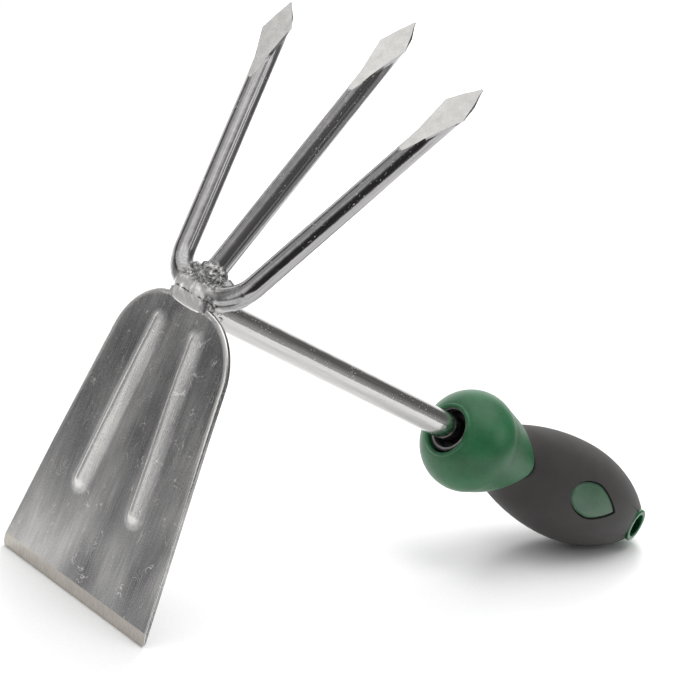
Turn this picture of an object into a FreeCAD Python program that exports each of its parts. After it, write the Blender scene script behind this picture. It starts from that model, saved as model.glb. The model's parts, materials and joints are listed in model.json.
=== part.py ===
import FreeCAD, Part
import math
import os
import Sketcher
from FreeCAD import Placement, Rotation, Vector

# Hand cultivator: a stamped hoe blade and three round tines welded to a round shaft in a moulded handle.
#
# Tool frame, in which every piece is drawn: +X runs along the shaft from the head to the handle, +Z towards
# the tines, +Y across; the origin is on the shaft's axis in the middle of the head.
# Row frame, in which every piece is placed: the tool as it rests on a level floor, +X from the head to the
# handle, +Z up, the origin on the floor under the middle of the tool.

doc = FreeCAD.newDocument("hand_cultivator")

SIZES = [
    # shaft
    ("shaft_dia", 10.0, "round shaft"),
    ("shaft_reach", 138.7, "hub plane to the handle's mouth"),
    ("shaft_sunk", 74.5, "length of shaft inside the handle"),
    # hoe blade
    ("blade_width", 84.1, "along the cutting edge"),
    ("blade_height", 106.9, "hub plane to the cutting edge, along the blade"),
    ("blade_gauge", 1.8, "sheet thickness"),
    ("blade_lean", 8.2, "blade's tilt towards the handle, degrees"),
    ("blade_front", 2.5, "front face ahead of the origin"),
    ("flare_angle", 7.2, "each side's flare, degrees"),
    ("shoulder_rad", 23.5, "rounded shoulders"),
    ("shoulder_drop", 24.0, "shoulder arc's centre below the hub plane"),
    ("neck_width", 22.0, "tab that meets the bent rod"),
    ("neck_rise", 0.8, "tab's end above the hub plane"),
    ("corner_rad", 2.0, "corners of the cutting edge"),
    ("bevel_high", 4.6, "ground bevel on the front"),
    ("edge_land", 0.4, "thickness left at the cutting edge"),
    ("rib_rad", 5.6, "pressed rib, outer radius"),
    ("rib_high", 2.3, "rib's crest above the front face"),
    ("rib_low_y", 15.6, "rib's lower end from the middle"),
    ("rib_low_drop", 71.5, "rib's lower end below the hub plane"),
    ("rib_top_y", 10.2, "rib's upper end from the middle"),
    ("rib_top_drop", 12.0, "rib's upper end below the hub plane"),
    # tines
    ("rod_dia", 7.6, "round rod of the tines"),
    ("fork_front", -0.2, "bent rod's plane ahead of the origin at the hub plane"),
    ("fork_lean", 10.5, "bent rod's tilt towards the handle, degrees"),
    ("fork_low", "=neck_rise + rod_dia / 2", "centreline of the cross piece, seated on the tab"),
    ("fork_bend", 14.0, "bend radius of the rod's centreline"),
    ("leg_foot", 14.6, "leg's centreline from the middle at the hub plane"),
    ("leg_spread", 50.6, "leg's tip from the middle"),
    ("leg_high", 105.9, "leg's tip above the hub plane, along the fork"),
    ("mid_front", 1.0, "middle tine's axis ahead of the origin at the hub plane"),
    ("mid_lean", 13.8, "middle tine's tilt towards the handle, degrees"),
    ("mid_high", 119.4, "middle tine's tip above the hub plane, along the tine"),
    ("flat_long", 33.0, "ground flat at each tine's end"),
    ("flat_past", 0.4, "flat's plane behind the tine's axis at the tip"),
    ("lance_width", 13.3, "widest part of the forged tip"),
    ("lance_back", 11.0, "widest part before the tip"),
    ("lance_gauge", 1.1, "thickness of the forged wings"),
    ("point_width", 0.9, "blunt point"),
    ("keel_long", 11.5, "length over which the rod's back tapers to the point"),
    # weld beads
    ("tine_bead_x", "=rod_dia * 0.9 - 2.34", "tine weld, half thickness, back over the shaft's end"),
    ("tine_bead_y", 10.4, "tine weld, half width"),
    ("tine_bead_z", "=rod_dia * 1.5 - 6", "tine weld, half height, down past the rod to the shaft"),
    ("shaft_bead_x", 6.2, "shaft weld, half length"),
    ("shaft_bead_y", "=shaft_dia * 0.76", "shaft weld, half width"),
    ("shaft_bead_z", "=shaft_dia * 0.69", "shaft weld, half height"),
    # handle
    ("handle_drop", 1.0, "handle's axis below the shaft's"),
    ("bulb_in", 12.8, "mouth to the front bulb's thickest place"),
    ("bulb_x", "=shaft_reach + bulb_in", "thickest place of the front bulb"),
    ("bulb_core", 4.9, "bulb arc's centre off the handle's axis"),
    ("bulb_rad", 14.0, "bulb arc's radius"),
    ("waist_rad", 20.0, "hollow between bulb and grip"),
    ("grip_in", 73.3, "mouth to the grip's thickest place"),
    ("grip_x", "=shaft_reach + grip_in", "thickest place of the grip"),
    ("grip_dia", 39.0, "thickest grip diameter"),
    ("grip_fore_rad", 120.0, "grip's profile ahead of its thickest place"),
    ("grip_aft_rad", 78.0, "grip's profile behind its thickest place"),
    ("end_rad", 4.5, "rounded end"),
    ("lip_rad", 10.6, "raised lip round the mouth"),
    ("lip_rise", 0.7, "lip's height"),
    ("sleeve_gauge", 3.0, "thickness of the soft sleeve"),
    ("tongue_in", 36.3, "mouth to the tip of the bulb's tongue"),
    ("tongue_x", "=shaft_reach + tongue_in", "tip of the bulb's tongue on each side of the grip"),
    ("tongue_z", 1.0, "tongue's tip above the shaft's axis"),
    ("tongue_nose", 5.0, "radius of the tongue's tip"),
    ("boss_rad", 7.0, "hard boss round the hang hole"),
    ("tip_in", 112.8, "mouth to the hard tip"),
    ("tip_x", "=shaft_reach + tip_in", "hard tip starts"),
    ("hole_in", 108.3, "mouth to the hang hole"),
    ("hole_x", "=shaft_reach + hole_in", "hang hole"),
    ("hole_z", -1.0, "hang hole from the shaft's axis"),
    ("hole_dia", 9.0, "hang hole"),
    # bush and ring in the mouth
    ("bush_rad", 8.6, "black bush, outside"),
    ("bush_long", 14.0, "black bush"),
    ("bush_sunk", 0.4, "bush's face behind the mouth's plane"),
    ("recess_rad", 7.3, "open recess round the shaft"),
    ("recess_deep", 6.0, "open recess round the shaft"),
    ("ring_rad", 8.0, "steel ring, outside"),
    ("ring_long", 3.0, "steel ring"),
    # inlaid badges
    ("badge_in", 69.8, "mouth to the middle of the badge"),
    ("badge_x", "=shaft_reach + badge_in", "middle of the badge along the grip"),
    ("badge_z", 0.2, "middle of the badge from the shaft's axis"),
    ("badge_long", 26.5, "badge length"),
    ("badge_wide", 13.0, "badge width"),
    ("badge_floor", "=grip_dia / 2 - 2.5", "badge's seat from the middle plane"),
    ("badge_gap", 0.4, "gap round the badge"),
]

sheet = doc.addObject("Spreadsheet::Sheet", "Sizes")
for row, (alias, value, note) in enumerate(SIZES, start=1):
    sheet.set("A%d" % row, note)
    sheet.set("B%d" % row, str(value))
    sheet.setAlias("B%d" % row, alias)
doc.recompute()


def size(alias):
    return float(sheet.get(alias))


def tilt(degrees):
    """Turn about the tool's cross axis; positive leans +Z towards the handle."""
    return Rotation(Vector(0, 1, 0), degrees)


SHAFT_R = size("shaft_dia") / 2
ROD_R = size("rod_dia") / 2
BLADE = Placement(Vector(-size("blade_front"), 0, 0), tilt(-size("blade_lean")))
FORK = Placement(Vector(-size("fork_front"), 0, 0), tilt(size("fork_lean")))
MIDDLE = Placement(Vector(-size("mid_front"), 0, 0), tilt(size("mid_lean")))
ALONG_X = Rotation(Vector(0, 1, 0), 90)
ALONG_Y = Rotation(Vector(1, 0, 0), -90)
FACING_X = Rotation(Vector(1, 1, 1), 120)


# ---------------------------------------------------------------- modelling steps shared by the pieces

def new_body(label):
    body = doc.addObject("PartDesign::Body", label)
    body.Label = label
    return body


def plane(body, role):
    return [f for f in body.Origin.OriginFeatures if f.Role == role][0]


def seat(feature, body, place, role="XY_Plane"):
    """Attach a sketch or primitive to a base plane of its own body, moved by place."""
    feature.AttachmentSupport = [(plane(body, role), "")]
    feature.MapMode = "FlatFace"
    feature.AttachmentOffset = place


def primitive(body, kind, name, place, **sizes):
    """PartDesign primitive; each size is an expression over the sheet."""
    feature = body.newObject("PartDesign::" + kind, name)
    seat(feature, body, place)
    for prop, expression in sizes.items():
        feature.setExpression(prop, expression)
    doc.recompute()
    return feature


def block(body, kind, name, frame, low, high):
    """Box between two corners given in a frame; its sides are plain construction sizes."""
    feature = body.newObject("PartDesign::" + kind, name)
    seat(feature, body, frame.multiply(Placement(Vector(*low), Rotation())))
    feature.Length = high[0] - low[0]
    feature.Width = high[1] - low[1]
    feature.Height = high[2] - low[2]
    doc.recompute()
    return feature


def new_sketch(body, name, place, role="XY_Plane"):
    sketch = body.newObject("Sketcher::SketchObject", name)
    seat(sketch, body, place, role)
    return sketch


def rule(sketch, name, expression, *args):
    """Named sketch dimension driven by the sheet."""
    index = sketch.addConstraint(Sketcher.Constraint(*args))
    sketch.renameConstraint(index, name)
    sketch.setExpression("Constraints." + name, expression)


def chain(sketch, points):
    """Closed run of straight lines through the points, joined end to start."""
    first = sketch.GeometryCount
    count = len(points)
    for i in range(count):
        a = Vector(points[i][0], points[i][1], 0)
        b = Vector(points[(i + 1) % count][0], points[(i + 1) % count][1], 0)
        sketch.addGeometry(Part.LineSegment(a, b))
    for i in range(count):
        sketch.addConstraint(Sketcher.Constraint("Coincident", first + i, 2, first + (i + 1) % count, 1))
    return first


def arc(centre, radius, start, end, clockwise=False):
    """Arc of a circle from one point to another about a centre, as sketch geometry."""
    a0 = math.atan2(start[1] - centre[1], start[0] - centre[0])
    a1 = math.atan2(end[1] - centre[1], end[0] - centre[0])
    if clockwise:
        a0, a1 = a1, a0
    circle = Part.Circle(Vector(centre[0], centre[1], 0), Vector(0, 0, 1), radius)
    return Part.ArcOfCircle(circle, a0, a1)


def sweep_fork(body, kind, name):
    """The bent rod of the two outer tines, up to where each leg's back starts to taper, swept along its line."""
    splay = math.atan2(size("leg_spread") - size("leg_foot"), size("leg_high"))
    low = size("fork_low")
    bend = size("fork_bend")
    corner_y = size("leg_foot") + low * math.tan(splay)
    turn = math.pi / 2 - splay
    run = bend * math.tan(turn / 2)
    start = (corner_y - run, low)
    finish = (corner_y + run * math.sin(splay), low + run * math.cos(splay))
    cut = size("keel_long")
    end = (size("leg_spread") - cut * math.sin(splay), size("leg_high") - cut * math.cos(splay))
    centre = (start[0], low + bend)

    path = new_sketch(body, name + "_path", FORK.multiply(Placement(Vector(), FACING_X)))
    path.addGeometry(Part.LineSegment(Vector(-end[0], end[1], 0), Vector(-finish[0], finish[1], 0)))
    path.addGeometry(arc((-centre[0], centre[1]), bend, (-finish[0], finish[1]), (-start[0], start[1])))
    path.addGeometry(Part.LineSegment(Vector(-start[0], low, 0), Vector(start[0], low, 0)))
    path.addGeometry(arc(centre, bend, start, finish))
    path.addGeometry(Part.LineSegment(Vector(finish[0], finish[1], 0), Vector(end[0], end[1], 0)))
    path.addConstraint(Sketcher.Constraint("Tangent", 0, 2, 1, 1))
    path.addConstraint(Sketcher.Constraint("Tangent", 1, 2, 2, 1))
    path.addConstraint(Sketcher.Constraint("Tangent", 2, 2, 3, 1))
    path.addConstraint(Sketcher.Constraint("Tangent", 3, 2, 4, 1))
    path.addConstraint(Sketcher.Constraint("Symmetric", 2, 1, 2, 2, -2))
    path.addConstraint(Sketcher.Constraint("Symmetric", 0, 1, 4, 2, -2))
    path.addConstraint(Sketcher.Constraint("Equal", 1, 3))
    rule(path, "bend", "Sizes.fork_bend", "Radius", 3, bend)
    rule(path, "low", "Sizes.fork_low", "DistanceY", -1, 1, 2, 1, low)

    leg_end = Placement(Vector(0, -end[0], end[1]), Rotation(Vector(1, 0, 0), math.degrees(splay)))
    ring = new_sketch(body, name + "_ring", FORK.multiply(leg_end))
    ring.addGeometry(Part.Circle(Vector(), Vector(0, 0, 1), ROD_R))
    ring.addConstraint(Sketcher.Constraint("Coincident", 0, 3, -1, 1))
    rule(ring, "dia", "Sizes.rod_dia", "Diameter", 0, 2 * ROD_R)

    pipe = body.newObject("PartDesign::" + kind, name)
    pipe.Profile = ring
    pipe.Spine = (path, ["Edge1", "Edge2", "Edge3", "Edge4", "Edge5"])
    doc.recompute()
    return pipe


def forged_tip(body, name, tip):
    """End of a tine: the back tapers to the point, the front is ground flat, and thin wings spread beside it.
    tip has its origin at the point, +Z along the tine and +X towards the tine's back."""
    keel = Placement(Vector(0, 0, -size("keel_long")), Rotation())
    primitive(body, "AdditiveCone", name + "_keel", tip.multiply(keel), Radius1="Sizes.rod_dia / 2",
              Radius2="Sizes.point_width / 2", Height="Sizes.keel_long")
    slope = math.degrees(math.atan2(ROD_R + size("flat_past"), size("flat_long")))
    run = math.hypot(ROD_R + size("flat_past"), size("flat_long"))
    flat = tip.multiply(Placement(Vector(-ROD_R, 0, -size("flat_long")), tilt(slope)))
    block(body, "SubtractiveBox", name + "_flat", flat, (-12, -12, 0), (0, 12, run + 8))

    half = size("lance_width") / 2
    point = size("point_width") / 2
    shoulder = run - size("lance_back")
    wings = new_sketch(body, name + "_outline", flat.multiply(Placement(Vector(), FACING_X)))
    right = [(1.6, 5.0), (2.7, 0.42 * shoulder), (0.72 * half, 0.76 * shoulder), (half, shoulder), (point, run)]
    left = [(-x, y) for x, y in reversed(right)]
    first = chain(wings, right + left)
    for k in range(5):
        wings.addConstraint(Sketcher.Constraint("Symmetric", first + k, 1, first + 8 - k, 2, -2))
    rule(wings, "wide", "Sizes.lance_width", "DistanceX", first + 5, 2, first + 3, 1, 2 * half)
    rule(wings, "blunt", "Sizes.point_width", "DistanceX", first + 4, 2, first + 4, 1, 2 * point)
    rule(wings, "back", "Sizes.lance_back", "DistanceY", first + 3, 1, first + 4, 1, size("lance_back"))
    wing_pad = body.newObject("PartDesign::Pad", name + "_wings")
    wing_pad.Profile = wings
    wing_pad.setExpression("Length", "Sizes.lance_gauge")
    doc.recompute()


def handle_profile(body, name, inset):
    """Half section of the handle about its own axis, made of five arcs, moved inwards by inset."""
    s = size
    bulb = (s("bulb_x"), s("bulb_core"))
    fore = (s("grip_x"), s("grip_dia") / 2 - s("grip_fore_rad"))
    aft = (s("grip_x"), s("grip_dia") / 2 - s("grip_aft_rad"))
    # the waist's circle touches the bulb's and the grip's from outside
    reach_a = s("bulb_rad") + s("waist_rad")
    reach_b = s("grip_fore_rad") + s("waist_rad")
    span = math.hypot(fore[0] - bulb[0], fore[1] - bulb[1])
    ux = (fore[0] - bulb[0]) / span
    uy = (fore[1] - bulb[1]) / span
    along = (reach_a ** 2 - reach_b ** 2 + span ** 2) / (2 * span)
    off = math.sqrt(reach_a ** 2 - along ** 2)
    waist = (bulb[0] + along * ux - off * uy, bulb[1] + along * uy + off * ux)
    # the end's circle sits on the axis and touches the grip's from inside
    end_x = aft[0] + math.sqrt((s("grip_aft_rad") - s("end_rad")) ** 2 - aft[1] ** 2)
    end = (end_x, 0.0)

    r_bulb = s("bulb_rad") - inset
    r_waist = s("waist_rad") + inset
    r_fore = s("grip_fore_rad") - inset
    r_aft = s("grip_aft_rad") - inset
    r_end = s("end_rad") - inset

    def towards(a, b, radius):
        d = math.hypot(b[0] - a[0], b[1] - a[1])
        return (a[0] + radius * (b[0] - a[0]) / d, a[1] + radius * (b[1] - a[1]) / d)

    mouth_x = s("shaft_reach") + (0 if inset == 0 else 4.0)
    mouth_r = bulb[1] + math.sqrt(r_bulb ** 2 - (mouth_x - bulb[0]) ** 2)
    p0 = (mouth_x, mouth_r)
    p1 = towards(bulb, waist, r_bulb)
    p2 = towards(fore, waist, r_fore)
    p3 = (fore[0], fore[1] + r_fore)
    p4 = towards(aft, end, r_aft)
    p5 = (end_x + r_end, 0.0)

    sketch = new_sketch(body, name, Placement(Vector(0, -s("handle_drop"), 0), Rotation()), "XZ_Plane")
    sketch.addGeometry(arc(bulb, r_bulb, p0, p1, clockwise=True))
    sketch.addGeometry(arc(waist, r_waist, p1, p2))
    sketch.addGeometry(arc(fore, r_fore, p2, p3, clockwise=True))
    sketch.addGeometry(arc(aft, r_aft, p3, p4, clockwise=True))
    sketch.addGeometry(arc(end, r_end, p4, p5, clockwise=True))
    sketch.addGeometry(Part.LineSegment(Vector(p5[0], 0, 0), Vector(mouth_x, 0, 0)))
    sketch.addGeometry(Part.LineSegment(Vector(mouth_x, 0, 0), Vector(p0[0], p0[1], 0)))
    # a clockwise arc's first point in the sketch is where it ends on the way round
    sketch.addConstraint(Sketcher.Constraint("Tangent", 0, 1, 1, 1))
    sketch.addConstraint(Sketcher.Constraint("Tangent", 1, 2, 2, 2))
    sketch.addConstraint(Sketcher.Constraint("Tangent", 2, 1, 3, 2))
    sketch.addConstraint(Sketcher.Constraint("Tangent", 3, 1, 4, 2))
    sketch.addConstraint(Sketcher.Constraint("Coincident", 4, 1, 5, 1))
    sketch.addConstraint(Sketcher.Constraint("Coincident", 5, 2, 6, 1))
    sketch.addConstraint(Sketcher.Constraint("Coincident", 6, 2, 0, 2))
    sketch.addConstraint(Sketcher.Constraint("Horizontal", 5))
    sketch.addConstraint(Sketcher.Constraint("Vertical", 6))
    sketch.addConstraint(Sketcher.Constraint("PointOnObject", 5, 2, -1))
    sketch.addConstraint(Sketcher.Constraint("PointOnObject", 4, 3, -1))
    sketch.addConstraint(Sketcher.Constraint("Vertical", 2, 3, 3, 3))
    cut = "" if inset == 0 else " - Sizes.sleeve_gauge"
    grown = "" if inset == 0 else " + Sizes.sleeve_gauge"
    rule(sketch, "bulb", "Sizes.bulb_rad" + cut, "Radius", 0, r_bulb)
    rule(sketch, "waist", "Sizes.waist_rad" + grown, "Radius", 1, r_waist)
    rule(sketch, "fore", "Sizes.grip_fore_rad" + cut, "Radius", 2, r_fore)
    rule(sketch, "aft", "Sizes.grip_aft_rad" + cut, "Radius", 3, r_aft)
    rule(sketch, "end", "Sizes.end_rad" + cut, "Radius", 4, r_end)
    rule(sketch, "bulb_at", "Sizes.bulb_x", "DistanceX", -1, 1, 0, 3, bulb[0])
    rule(sketch, "bulb_up", "Sizes.bulb_core", "DistanceY", -1, 1, 0, 3, bulb[1])
    rule(sketch, "grip_at", "Sizes.grip_x", "DistanceX", -1, 1, 2, 3, fore[0])
    return sketch


def spin(body, kind, name, sketch):
    """Full turn of a sketch about its own horizontal axis."""
    feature = body.newObject("PartDesign::" + kind, name)
    feature.Profile = sketch
    feature.ReferenceAxis = (sketch, ["H_Axis"])
    feature.Angle = 360
    doc.recompute()
    return feature


def cut_through(body, name, sketch):
    """Pocket to both sides of the tool's middle plane."""
    pocket = body.newObject("PartDesign::Pocket", name)
    pocket.Profile = sketch
    pocket.Length = 120
    pocket.Midplane = True
    doc.recompute()
    return pocket


def tongue_nose():
    """Where the tongue's rounded tip meets its straight edges, which run back at 45 degrees."""
    nose = size("tongue_nose")
    centre_x = size("tongue_x") - nose
    return centre_x, nose * math.sqrt(0.5)


def shaft_bore(body, name, radius, start, length):
    """Round hole on the shaft's axis; radius and length are expressions, start is a plain distance."""
    primitive(body, "SubtractiveCylinder", name, Placement(Vector(start, 0, 0), ALONG_X),
              Radius=radius, Height=length)


# ---------------------------------------------------------------- hoe blade: pressed and ground sheet

def hoe_blade():
    body = new_body("hoe_blade")
    h = size("blade_height")
    half = size("blade_width") / 2
    neck = size("neck_width") / 2
    radius = size("shoulder_rad")
    drop = size("shoulder_drop")
    flare = math.radians(size("flare_angle"))
    # the shoulder's circle touches the flared side; its centre is at a set height
    side_at_centre = half - (h - drop) * math.tan(flare)
    centre = (side_at_centre - radius / math.cos(flare), -drop)
    touch = (centre[0] + radius * math.cos(flare), centre[1] + radius * math.sin(flare))
    meet = (neck, centre[1] + math.sqrt(radius ** 2 - (neck - centre[0]) ** 2))
    top = size("neck_rise")

    outline = new_sketch(body, "blade_outline", Placement(), "YZ_Plane")

    def line(x0, y0, x1, y1):
        outline.addGeometry(Part.LineSegment(Vector(x0, y0, 0), Vector(x1, y1, 0)))

    line(-half, -h, half, -h)
    line(half, -h, touch[0], touch[1])
    outline.addGeometry(arc(centre, radius, touch, meet))
    line(neck, meet[1], neck, top)
    line(neck, top, -neck, top)
    line(-neck, top, -neck, meet[1])
    outline.addGeometry(arc((-centre[0], centre[1]), radius, (-neck, meet[1]), (-touch[0], touch[1])))
    line(-touch[0], touch[1], -half, -h)
    for a, b in ((0, 1), (2, 3), (3, 4), (4, 5), (5, 6), (7, 0)):
        outline.addConstraint(Sketcher.Constraint("Coincident", a, 2, b, 1))
    outline.addConstraint(Sketcher.Constraint("Tangent", 1, 2, 2, 1))
    outline.addConstraint(Sketcher.Constraint("Tangent", 6, 2, 7, 1))
    outline.addConstraint(Sketcher.Constraint("Vertical", 3))
    outline.addConstraint(Sketcher.Constraint("Vertical", 5))
    outline.addConstraint(Sketcher.Constraint("Symmetric", 0, 1, 0, 2, -2))
    outline.addConstraint(Sketcher.Constraint("Symmetric", 4, 1, 4, 2, -2))
    outline.addConstraint(Sketcher.Constraint("Symmetric", 2, 3, 6, 3, -2))
    outline.addConstraint(Sketcher.Constraint("Equal", 2, 6))
    rule(outline, "width", "Sizes.blade_width", "DistanceX", 0, 1, 0, 2, 2 * half)
    rule(outline, "height", "Sizes.blade_height", "DistanceY", 0, 2, -1, 1, h)
    rule(outline, "neck", "Sizes.neck_width", "DistanceX", 4, 2, 4, 1, 2 * neck)
    rule(outline, "rise", "Sizes.neck_rise", "DistanceY", -1, 1, 4, 1, top)
    rule(outline, "shoulder", "Sizes.shoulder_rad", "Radius", 2, radius)
    rule(outline, "drop", "Sizes.shoulder_drop", "DistanceY", 2, 3, -1, 1, drop)
    rule(outline, "flare", "Sizes.flare_angle * 1 deg + 90 deg", "Angle", 1, math.pi / 2 + flare)

    plate = body.newObject("PartDesign::Pad", "blade_plate")
    plate.Profile = outline
    plate.setExpression("Length", "Sizes.blade_gauge")
    doc.recompute()
    corners = []
    for i, edge in enumerate(plate.Shape.Edges, start=1):
        middle = edge.BoundBox.Center
        if edge.BoundBox.YLength < 0.01 and abs(middle.z + h) < 0.01:
            corners.append("Edge%d" % i)
    rounded = body.newObject("PartDesign::Fillet", "blade_corners")
    rounded.Base = (plate, corners)
    rounded.setExpression("Radius", "Sizes.corner_rad")
    doc.recompute()

    # each rib is a bar with ball ends sunk in the sheet, hollow behind to the sheet's thickness
    low_y, low_z = size("rib_low_y"), -size("rib_low_drop")
    top_y, top_z = size("rib_top_y"), -size("rib_top_drop")
    lean = math.degrees(math.atan2(low_y - top_y, top_z - low_z))
    long = math.hypot(low_y - top_y, top_z - low_z)
    sunk = size("rib_rad") - size("rib_high")

    def rib(kind, name, side, radius_rule, radius_now):
        place = Placement(Vector(sunk, side * low_y, low_z), Rotation(Vector(1, 0, 0), side * lean))
        sketch = new_sketch(body, name + "_section", place.multiply(Placement(Vector(), Rotation(Vector(1, 0, 0), 90))))
        sketch.addGeometry(arc((0, 0), radius_now, (0, -radius_now), (-radius_now, 0), clockwise=True))
        sketch.addGeometry(Part.LineSegment(Vector(-radius_now, 0, 0), Vector(-radius_now, long, 0)))
        sketch.addGeometry(arc((0, long), radius_now, (-radius_now, long), (0, long + radius_now), clockwise=True))
        sketch.addGeometry(Part.LineSegment(Vector(0, long + radius_now, 0), Vector(0, -radius_now, 0)))
        sketch.addConstraint(Sketcher.Constraint("Tangent", 0, 1, 1, 1))
        sketch.addConstraint(Sketcher.Constraint("Tangent", 1, 2, 2, 2))
        sketch.addConstraint(Sketcher.Constraint("Coincident", 2, 1, 3, 1))
        sketch.addConstraint(Sketcher.Constraint("Coincident", 3, 2, 0, 2))
        sketch.addConstraint(Sketcher.Constraint("Coincident", 0, 3, -1, 1))
        sketch.addConstraint(Sketcher.Constraint("PointOnObject", 2, 3, -2))
        sketch.addConstraint(Sketcher.Constraint("Vertical", 3))
        rule(sketch, "round", radius_rule, "Radius", 0, radius_now)
        sketch.addConstraint(Sketcher.Constraint("DistanceY", 0, 3, 2, 3, long))
        turned = body.newObject("PartDesign::" + kind, name)
        turned.Profile = sketch
        turned.ReferenceAxis = (sketch, ["V_Axis"])
        turned.Angle = 360
        doc.recompute()

    for side, word in ((1, "left"), (-1, "right")):
        rib("Revolution", "rib_" + word, side, "Sizes.rib_rad", size("rib_rad"))
    block(body, "SubtractiveBox", "flat_back", Placement(), (size("blade_gauge"), -40, -h + 8),
          (size("blade_gauge") + 20, 40, 8))
    for side, word in ((1, "left"), (-1, "right")):
        rib("Groove", "hollow_" + word, side, "Sizes.rib_rad - Sizes.blade_gauge",
            size("rib_rad") - size("blade_gauge"))

    grind = math.degrees(math.atan2(size("blade_gauge") - size("edge_land"), size("bevel_high")))
    bevel = Placement(Vector(0, 0, size("bevel_high") - h), tilt(-grind))
    block(body, "SubtractiveBox", "ground_bevel", bevel, (-6, -60, -12), (0, 60, 0))
    return body


# ---------------------------------------------------------------- tines: one bent rod and one straight rod

def outer_tines():
    body = new_body("outer_tines")
    sweep_fork(body, "AdditivePipe", "bent_rod")
    splay = math.degrees(math.atan2(size("leg_spread") - size("leg_foot"), size("leg_high")))
    for side, word in ((1, "left"), (-1, "right")):
        tip = Placement(Vector(0, side * size("leg_spread"), size("leg_high")),
                        Rotation(Vector(1, 0, 0), -side * splay))
        forged_tip(body, word, FORK.multiply(tip))
    return body


def middle_bar(body, kind, name):
    """The middle tine's straight rod, from inside the cross piece up to where its back starts to taper."""
    primitive(body, kind, name, MIDDLE, Radius="Sizes.rod_dia / 2", Height="Sizes.mid_high - Sizes.keel_long")


def cross_bar(body, name):
    """The straight cross piece of the bent rod, taken away from what is coped onto it."""
    middle = FORK.multVec(Vector(0, 0, size("fork_low")))
    primitive(body, "SubtractiveCylinder", name, Placement(middle + Vector(0, -20, 0), ALONG_Y),
              Radius="Sizes.rod_dia / 2", Height="40")


def centre_tine():
    body = new_body("centre_tine")
    middle_bar(body, "AdditiveCylinder", "straight_rod")
    forged_tip(body, "middle", MIDDLE.multiply(Placement(Vector(0, 0, size("mid_high")), Rotation())))
    # nothing is left below the cross piece's centreline
    block(body, "SubtractiveBox", "foot", FORK, (-12, -12, -12), (12, 12, size("fork_low")))
    cross_bar(body, "coped_foot")
    return body


# ---------------------------------------------------------------- shaft: round bar coped to the head

def behind_blade(body, name):
    """Clear everything ahead of the blade's back face."""
    block(body, "SubtractiveBox", name, BLADE, (size("blade_gauge") - 30, -30, -30), (size("blade_gauge"), 30, 30))


def shaft():
    body = new_body("shaft")
    primitive(body, "AdditiveCylinder", "round_bar", Placement(Vector(-4, 0, 0), ALONG_X),
              Radius="Sizes.shaft_dia / 2", Height="4 + Sizes.shaft_reach + Sizes.shaft_sunk")
    behind_blade(body, "butt_end")
    cross_bar(body, "coped_end")
    return body


# ---------------------------------------------------------------- welds: beads less the pieces they join

def tine_bead(body, kind, name):
    """Bead across the forks' root, lying in the fork's plane on top of the cross piece."""
    middle = FORK.multiply(Placement(Vector(0, 0, size("fork_low") + ROD_R + 0.4), Rotation()))
    primitive(body, kind, name, middle, Radius1="Sizes.tine_bead_z", Radius2="Sizes.tine_bead_x",
              Radius3="Sizes.tine_bead_y")


def tine_weld():
    body = new_body("tine_weld")
    tine_bead(body, "AdditiveEllipsoid", "bead")
    sweep_fork(body, "SubtractivePipe", "less_bent_rod")
    middle_bar(body, "SubtractiveCylinder", "less_middle_rod")
    shaft_bore(body, "less_shaft", "Sizes.shaft_dia / 2", -4, "40")
    behind_blade(body, "less_blade")
    return body


def shaft_weld():
    body = new_body("shaft_weld")
    primitive(body, "AdditiveEllipsoid", "collar", Placement(Vector(4.4, 0, -0.3), Rotation()),
              Radius1="Sizes.shaft_bead_z", Radius2="Sizes.shaft_bead_x", Radius3="Sizes.shaft_bead_y")
    behind_blade(body, "less_blade")
    sweep_fork(body, "SubtractivePipe", "less_bent_rod")
    shaft_bore(body, "less_shaft", "Sizes.shaft_dia / 2", -4, "40")
    tine_bead(body, "SubtractiveEllipsoid", "less_tine_bead")
    return body


def blade_weld():
    body = new_body("blade_weld")
    neck = size("neck_width") / 2
    block(body, "AdditiveBox", "seam", BLADE, (0, -neck, size("neck_rise")), (size("blade_gauge"), neck, size("fork_low") - 0.4))
    sweep_fork(body, "SubtractivePipe", "less_bent_rod")
    return body


# ---------------------------------------------------------------- handle: hard core in a soft sleeve

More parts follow.
